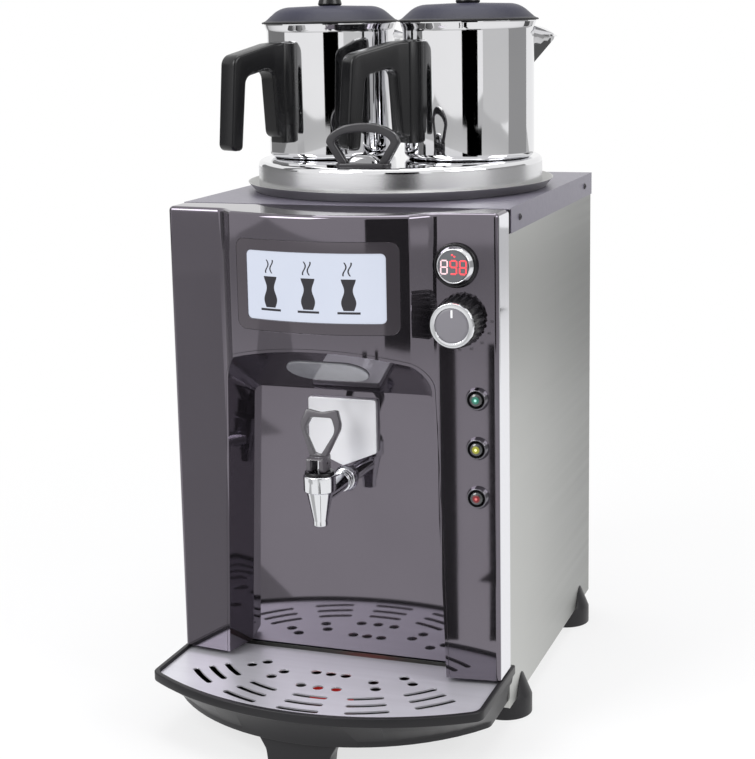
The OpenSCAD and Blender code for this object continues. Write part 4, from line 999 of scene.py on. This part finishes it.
def trayLoop(half, front, arc, back, z, inset=0):
    # bowed front between rounded corners, straight sides, square back
    half, front, back, arc = half - inset, front + inset, back - inset, arc - inset
    points, radii = [], []
    for k in range(tray.steps + 1):
        x = -half + 2 * half * k / tray.steps
        points.append((x, front + arc - math.sqrt(arc * arc - x * x)))
        radii.append(tray.corner if k in (0, tray.steps) else 0)
    points += [(half, back), (-half, back)]
    radii += [tray.backCorner] * 2
    return [(x, y, z) for x, y in roundCorners(points, radii, 5)]


def trayBowl():
    d = tray
    back, top = highOf("drip_tray").y, highOf("drip_tray").z
    rim = (d.half, caseFront - d.reach, d.arc, back)
    foot = (d.footHalf, caseFront - d.footReach, d.footArc, back - 1)
    bowl = loftPiece("trayBowl", [
        trayLoop(*foot, d.floor),
        trayLoop(*foot, d.floor + 6),
        trayLoop(*rim, top - d.rim - 0.3, 1.5),
        trayLoop(*rim, top - d.rim + 0.3),
        trayLoop(*rim, top - 0.4),
        trayLoop(*rim, top, d.rimWide),
        trayLoop(*rim, top - d.ledge - 1.6, d.rimWide + 0.3),
        trayLoop(*rim, top - d.ledge - 2.0, d.rimWide + 5),
        trayLoop(*foot, d.floor + d.wall, 12),
    ])
    soften(bowl, d.edge, 3, 32, 30)
    return bowl


def trayLeg():
    (waistX, waistZ), top = leg.waist, tray.floor + leg.lap
    outline = roundCorners([(-leg.foot, leg.low), (leg.foot, leg.low), (waistX, waistZ),
                            (leg.top, top), (-leg.top, top), (-waistX, waistZ)], [3, 3, 16, 0, 0, 16])
    piece = cutPlate("trayLeg", outline, leg.deep, "y")
    legFront = caseFront - tray.footReach + leg.setBack
    setDown(piece, (0, legFront + leg.deep / 2, 0))
    soften(piece, leg.edge, 3)
    return piece


bowl = trayBowl()
print("tray bowl built")
dressNode("drip_grid", 0, dissolve=False, finish="gridSteel")
dressNode("level_float", 0.5)
carry(joinAll("dripTray", [bowl, trayLeg()]), "drip_tray")
print("tray built")

# tank, lid and its handle

dressNode("tank", 0.3)
lid = Sizes(edge=5, wall=1.2, hole=0.5, flat=40)
lidLow, lidHigh, tankAt = lowOf("tank_lid"), highOf("tank_lid"), middle("tank_lid")
lidRadius = (lidHigh.x - lidLow.x) / 2


def tankLid():
    top, under, inner = lidHigh.z, lidHigh.z - lid.wall, lidRadius - lid.wall
    profile = [(inner, lidLow.z), (lidRadius, lidLow.z), (lidRadius, top), (lidRadius - lid.flat, top),
               (lid.hole, top), (lid.hole, under), (inner, under)]
    turnNode("tank_lid", profile, [0.3, 0.3, lid.edge, 0, 0, 0, lid.edge - lid.wall],
             (tankAt.x, tankAt.y, 0), steps=160, finish="lidSteel")


tankLid()

handle = Sizes(turn=3.5, inset=13.5, base=57, baseDeep=16, baseTall=5, baseEdge=1.2, half=38, tall=45,
               band=9, thick=10, edge=2.4, shoulder=25)
dish = Sizes(half=17, tall=9, deep=0.41,
             rings=((1.0, 0), (0.98, 0.15), (0.88, 0.5), (0.7, 0.8), (0.45, 0.97), (0.2, 1.0)))


def halfTurn(steps):
    return [math.pi * k / steps for k in range(steps + 1)]


def stadium(wide, deep, steps=12):
    straight = (wide - deep) / 2
    right = [(straight + deep / 2 * math.sin(a), -deep / 2 * math.cos(a)) for a in halfTurn(steps)]
    return right + [(-x, -y) for x, y in right]


def archPath(foot, footZ, half, shoulder, top):
    arc = [(half * math.cos(a), shoulder + (top - shoulder) * math.sin(a)) for a in halfTurn(20)]
    return [(foot, footZ)] + arc + [(-foot, footZ)]


def lidHandle():
    d = handle
    turn = (0, 0, d.turn)
    place = Matrix.Rotation(math.radians(d.turn), 3, "Z") @ Vector((0, -(lidRadius - d.inset), 0))
    x, y, z = tankAt.x + place.x, tankAt.y + place.y, lidHigh.z
    base = cutPlate("handleBase", stadium(d.base, d.baseDeep), d.baseTall, "z")
    soften(base, d.baseEdge, 3)
    setDown(base, (x, y, z + d.baseTall / 2), turn)
    legX, footZ, band = d.base / 2 - 3, d.baseTall - 1, d.band
    outer = archPath(legX, footZ, d.half, d.shoulder, d.tall)
    inner = archPath(legX - band - 1, footZ, d.half - band, d.shoulder, d.tall - band)
    arch = cutPlate("handleArch", outer + inner[::-1], d.thick, "y")
    soften(arch, d.edge, 4, 40)
    setDown(arch, (x, y, z), turn)
    carry(joinAll("lidHandle", [arch, base]), "lid_handle", "handlePlastic")
    loops = []
    for share, rise in dish.rings:
        wide = dish.half * 2 * share
        loops.append([(a, b, rise * dish.tall) for a, b in stadium(wide, wide * dish.deep, 10)])
    piece = loftPiece("handleDish", loops)
    smooth(piece, 50)
    setDown(piece, (x, y, z + d.baseTall), turn)
    carry(piece, "handle_dish", "dishMetal")


lidHandle()
print("lid and handle built")

# teapots

pot = Sizes(radius=69, tall=142.6, flare=2.5, corner=7, wall=1.2, x=77.4)
potTurns = {"left": (-1, 25), "right": (1, 40)}
beak = Sizes(wide=46, tall=51, drop=9, sink=8.5, border=1.2, slope=0.3, deep=4, trough=24, keel=2.5)
beakStations = ((-5.0, 1.0, 1.0), (10, 0.74, 0.77), (24, 0.46, 0.48), (34, 0.27, 0.27), (41.8, 0.12, 0.11),
                (43, 0.06, 0.06))
grip = Sizes(reach=154.5, lean=7.5, wide=22, grip=16, leg=25.3, taper=5, edge=3, armTop=125, gripTop=111,
             foot=15, legFoot=25, gapTop=98, bracket=13, lap=1.2, bracketLow=19, bracketHigh=123,
             bracketEdge=1.0)
potLid = Sizes(radius=73.9, dome=18.2, edge=1.5, brow=(69.9, 3.0), shoulder=(53.9, 17.0), seat=16, plug=-8)
potKnob = Sizes(radius=13.5, tall=31.5)


def potBody():
    d = pot
    r, h, f, t = d.radius, d.tall, d.flare, d.wall
    outer = [(0, 0), (r, 0), (r, h - 8), (r + f, h - 1.5), (r + f, h)]
    inner = [(r + f - t, h), (r + f - t, h - 1.3), (r - t, h - 8), (r - t, t), (0, t)]
    path = roundCorners(outer + inner, [0, d.corner, 12, 0.6, 0.5, 0.5, 0.6, 12, d.corner - t, 0])
    return turnPiece("potBody", path, steps=144)


def potBeak():
    # a trough from the wall to the tip, V-shaped in section, its top pushed down
    d = beak
    loops = []
    for y, wide, tall in beakStations:
        half, keel = d.wide / 2 * wide, d.keel * wide
        top = pot.tall - d.drop - d.sink * (1 - wide)
        low = top - d.tall * tall
        section = roundCorners([(-half, top), (half, top), (keel, low), (-keel, low)],
                               [1.5 * wide + 0.2, 1.5 * wide + 0.2, 2.2 * wide, 2.2 * wide], 3)
        loops.append([(x, pot.radius + y, z) for x, z in section])
    piece = loftPiece("potBeak", loops)
    troughEnd = (pot.radius + d.trough) * mm
    sinkFaces(piece, lambda face: face.normal.z > 0.9 and face.calc_center_median().y < troughEnd,
              d.border, d.slope, d.deep)
    smooth(piece, 40)
    return piece


def potHandle():
    # grip and leg cut from one outline, on a bracket that fits the wall
    d = grip
    r = pot.radius
    wall = r - 0.5
    legY, gripY = r + d.leg, d.reach - d.lean
    outline = roundCorners(
        [(-wall, d.armTop), (-legY, d.armTop - 2), (-gripY, d.gripTop), (-d.reach, d.foot),
         (-d.reach + d.grip, d.foot), (-gripY + d.grip, d.gapTop - 8), (-legY, d.gapTop),
         (-legY + d.taper, d.legFoot), (-wall, d.legFoot)],
        [0, 30, 12, 7, 5, 10, 10, 8, 0], 7)
    bow = cutPlate("handleBow", outline, d.wide, "x")
    soften(bow, d.edge, 5, 40, 50)
    half, front, back = d.wide / 2 + d.lap, r + d.bracket, r - 1.5
    tall = d.bracketHigh - d.bracketLow
    section = roundCorners([(-half, -back), (-half, -front), (half, -front), (half, -back)], [0, 5, 5, 0])
    bracket = cutPlate("handleBracket", section, tall, "z")
    soften(bracket, d.bracketEdge, 3, 40)
    setDown(bracket, (0, 0, d.bracketLow + tall / 2))
    return joinAll("potHandle", [bow, bracket])


def potLidPiece():
    d = potLid
    r, dome, low, inside = d.radius, d.dome, d.plug, pot.radius - 4
    plug = pot.radius - pot.wall - 1
    shoulder = d.shoulder
    path = roundCorners(
        [(0, dome), (d.seat, dome), shoulder, d.brow, (r, d.edge), (r, 0), (plug, 0), (plug, low),
         (inside, low), (inside, 4.6), (shoulder[0] - 1, shoulder[1] - 1.9), (0, dome - 1.6)],
        [0, 6, 28, 4, 0.7, 0.7, 0, 0.4, 0.4, 0, 26, 0], 8)
    return turnPiece("potLidPiece", [(x, z + pot.tall) for x, z in path], steps=144)


def potKnobPiece():
    base = pot.tall + potLid.dome
    r, h = potKnob.radius, potKnob.tall
    path = roundCorners([(0, 0), (r, 0), (r - 4, h * 0.45), (r - 0.5, h - 3), (r - 4, h), (0, h)],
                        [0, 2, 12, 3, 3, 0], 7)
    return turnPiece("potKnobPiece", [(x, z + base) for x, z in path], steps=64)


sources = {"_pot": joinAll("potSource", [potBody(), potBeak()]), "_pot_handle": potHandle(),
           "_pot_lid": potLidPiece(), "_pot_knob": potKnobPiece()}
for ending, source in sources.items():
    for side, (sign, turn) in potTurns.items():
        node = side + ending
        carry(copyPiece(source, camel(node), (sign * pot.x, tankAt.y, lidHigh.z), (0, 0, -turn)), node)
    dropPiece(source)
print("teapots built")

# back, and the nodes that show as they are

dressNode("cable_gland", 0.6, segments=3)
for node, piece in cadNodes.items():
    coat(piece, slotOf[node])
print("finishes on", len(cadNodes), "nodes")

# stage, light and camera

stage = Sizes(floor=7.4, floorTone=rgb(236, 236, 238), nearWhite=0.72, shadowReach=0.75, shadowSoft=0.6,
              worldFill=0.55, brightReach=2.3, brightSoft=1.1, farTone=0.55)


def rayKinds(tree, *kinds):
    path = tree.nodes.new("ShaderNodeLightPath")
    return [Wire(tree, path.outputs["Is " + kind + " Ray"]) for kind in kinds]


def whiteWorld():
    # plain white to look at and in reflections, dimmer as a light
    world = bpy.data.worlds.new("studioWhite")
    bpy.context.scene.world = world
    world.use_nodes = True
    tree = world.node_tree
    camera, mirrored, through = rayKinds(tree, "Camera", "Glossy", "Transmission")
    seen = camera.maths("MAXIMUM", mirrored).maths("MAXIMUM", through)
    background = tree.nodes["Background"]
    background.inputs["Color"].default_value = (1, 1, 1, 1)
    plug(seen + (1 - seen) * stage.worldFill, background.inputs["Strength"])


def paleFloor():
    # takes a soft shadow near the part, fades to white, and far off is painted grey in reflections, as painted
    # shade
    floor = addNew("paleFloor", bpy.ops.mesh.primitive_plane_add, size=stage.floor, location=(0, 0, 0))
    pickMesh()
    bpy.ops.mesh.subdivide(number_cuts=4)
    leaveEdit()
    finish, shader, coords = startFinish("paleFloor")
    tree = finish.node_tree
    feed(shader, Base_Color=stage.floorTone, Roughness=0.8, Specular_IOR_Level=0.1)
    camera, mirrored = rayKinds(tree, "Camera", "Glossy")
    away = coords.add("ShaderNodeVectorMath", {"operation": "LENGTH"}, {0: coords}, out=1)
    shadowed = away.below(stage.shadowReach, stage.shadowReach * stage.shadowSoft)
    distant = 1 - away.below(stage.brightReach, stage.brightSoft)
    white = (1, 1, 1, 1)
    # painted shade: reflections see the floor darker far from the part
    tone = (mirrored * distant).mixed(white, shade(white, stage.farTone))
    glow = tone.add("ShaderNodeEmission", {}, {"Color": tone, "Strength": 1.0})
    share = camera * (1 - shadowed * (1 - stage.nearWhite)) + mirrored
    mixed = share.add("ShaderNodeMixShader", {}, {0: share, 1: Wire(tree, shader.outputs[0]), 2: glow})
    plug(mixed, tree.nodes["Material Output"].inputs["Surface"])
    floor.data.materials.append(finish)


def softBox(name, place, aim, size, power):
    light = addNew(name, bpy.ops.object.light_add, type="AREA", location=place)
    setAll(light.data, shape="RECTANGLE", size=size, size_y=size, energy=power)
    light.rotation_euler = (Vector(aim) - Vector(place)).to_track_quat("-Z", "Y").to_euler()


def darkFlag(name, place, size, aim=None, tone=0.0, turn=0):
    # a dark card seen only in reflections; with no aim it faces straight up
    flag = addNew(name, bpy.ops.mesh.primitive_plane_add, size=1, location=place)
    flag.scale = (*size, 1)
    toward = Vector(aim) - Vector(place) if aim else Vector((0, 0, 1))
    flag.rotation_euler = toward.to_track_quat("Z", "Y").to_euler()
    flag.rotation_euler.rotate_axis("Z", math.radians(turn))
    finish, _, coords = startFinish(name)
    card = coords.add("ShaderNodeEmission", {}, {"Color": (tone, tone, tone, 1)})
    plug(card, finish.node_tree.nodes["Material Output"].inputs["Surface"])
    flag.data.materials.append(finish)
    flag.visible_camera = flag.visible_diffuse = flag.visible_shadow = flag.visible_transmission = False


lights = {
    "keyLight": dict(place=(-1.6, -2.2, 2.2), aim=(0, 0, 0.35), size=1.6, power=60),
    "sideLight": dict(place=(2.4, -0.6, 1.6), aim=(0, 0, 0.35), size=1.4, power=30),
    "topLight": dict(place=(0, 0.3, 2.8), aim=(0, 0, 0.4), size=1.8, power=30),
}
flags = {
    "cameraFlag": dict(place=(1.15, -3.1, 1.08), aim=(0, 0, 1.08), size=(1.6, 2.15)),
    "lowFlag": dict(place=(1.01, -1.87, 0.11), aim=(0.1, -0.15, 0.11), size=(0.97, 0.22)),
    "tapCard": dict(place=(0.33, -0.99, 0.003), size=(0.09, 0.85), turn=22),
    "leftNear": dict(place=(-0.58, -0.66, 0.003), size=(0.26, 1.05), turn=-41, tone=0.5),
    "leftFar": dict(place=(-1.45, -1.66, 0.004), size=(0.75, 2.0), turn=-41, tone=0.5),
    "rightGrey": dict(place=(2.38, -0.98, 0.7), aim=(0.08, 0, 0.7), size=(2.3, 1.0), tone=0.66),
    "rearRightGrey": dict(place=(2.4, 1.05, 0.6), aim=(0.08, 0, 0.6), size=(2.2, 1.2), tone=0.34),
    "rearLeftGrey": dict(place=(-2.46, 0.43, 0.7), aim=(0, 0, 0.7), size=(2.8, 1.1), tone=0.22),
    "bandCard": dict(place=(0.089, -0.652, 0.15), aim=(0.089, 0, 0.15), size=(0.024, 0.3)),
    "bandFloor": dict(place=(0.096, -0.531, 0.003), size=(0.023, 0.24), turn=-3.3),
    "cornerCard": dict(place=(0.15, -0.652, 0.15), aim=(0.15, 0, 0.15), size=(0.016, 0.3)),
    "cornerFloor": dict(place=(0.154, -0.531, 0.003), size=(0.015, 0.24), turn=-1.7),
    "beakCard": dict(place=(1.25, 1.75, 0.003), size=(0.9, 0.9), tone=0.1),
}
whiteWorld()
paleFloor()
for name, settings in lights.items():
    softBox(name, **settings)
for name, settings in flags.items():
    darkFlag(name, **settings)
print("stage lit")

shot = Sizes(place=(0.5764, -1.61775, 0.7083), yaw=0.3438, pitch=0.1826, roll=-0.0189,
             optics=dict(lens=78.43, sensor_width=36, shift_y=-0.0784, clip_end=50))


def photoCamera():
    yaw, pitch, roll = shot.yaw, shot.pitch, shot.roll
    forward = Vector((-math.sin(yaw) * math.cos(pitch), math.cos(yaw) * math.cos(pitch), -math.sin(pitch)))
    level = Vector((math.cos(yaw), math.sin(yaw), 0))
    upright = level.cross(forward)
    right = level * math.cos(roll) + upright * math.sin(roll)
    up = upright * math.cos(roll) - level * math.sin(roll)
    camera = addNew("photoCamera", bpy.ops.object.camera_add, location=shot.place)
    camera.rotation_euler = Matrix((right, up, -forward)).transposed().to_euler()
    setAll(camera.data, **shot.optics)
    bpy.context.scene.camera = camera


photoCamera()
bpy.context.scene.view_settings.view_transform = "Standard"
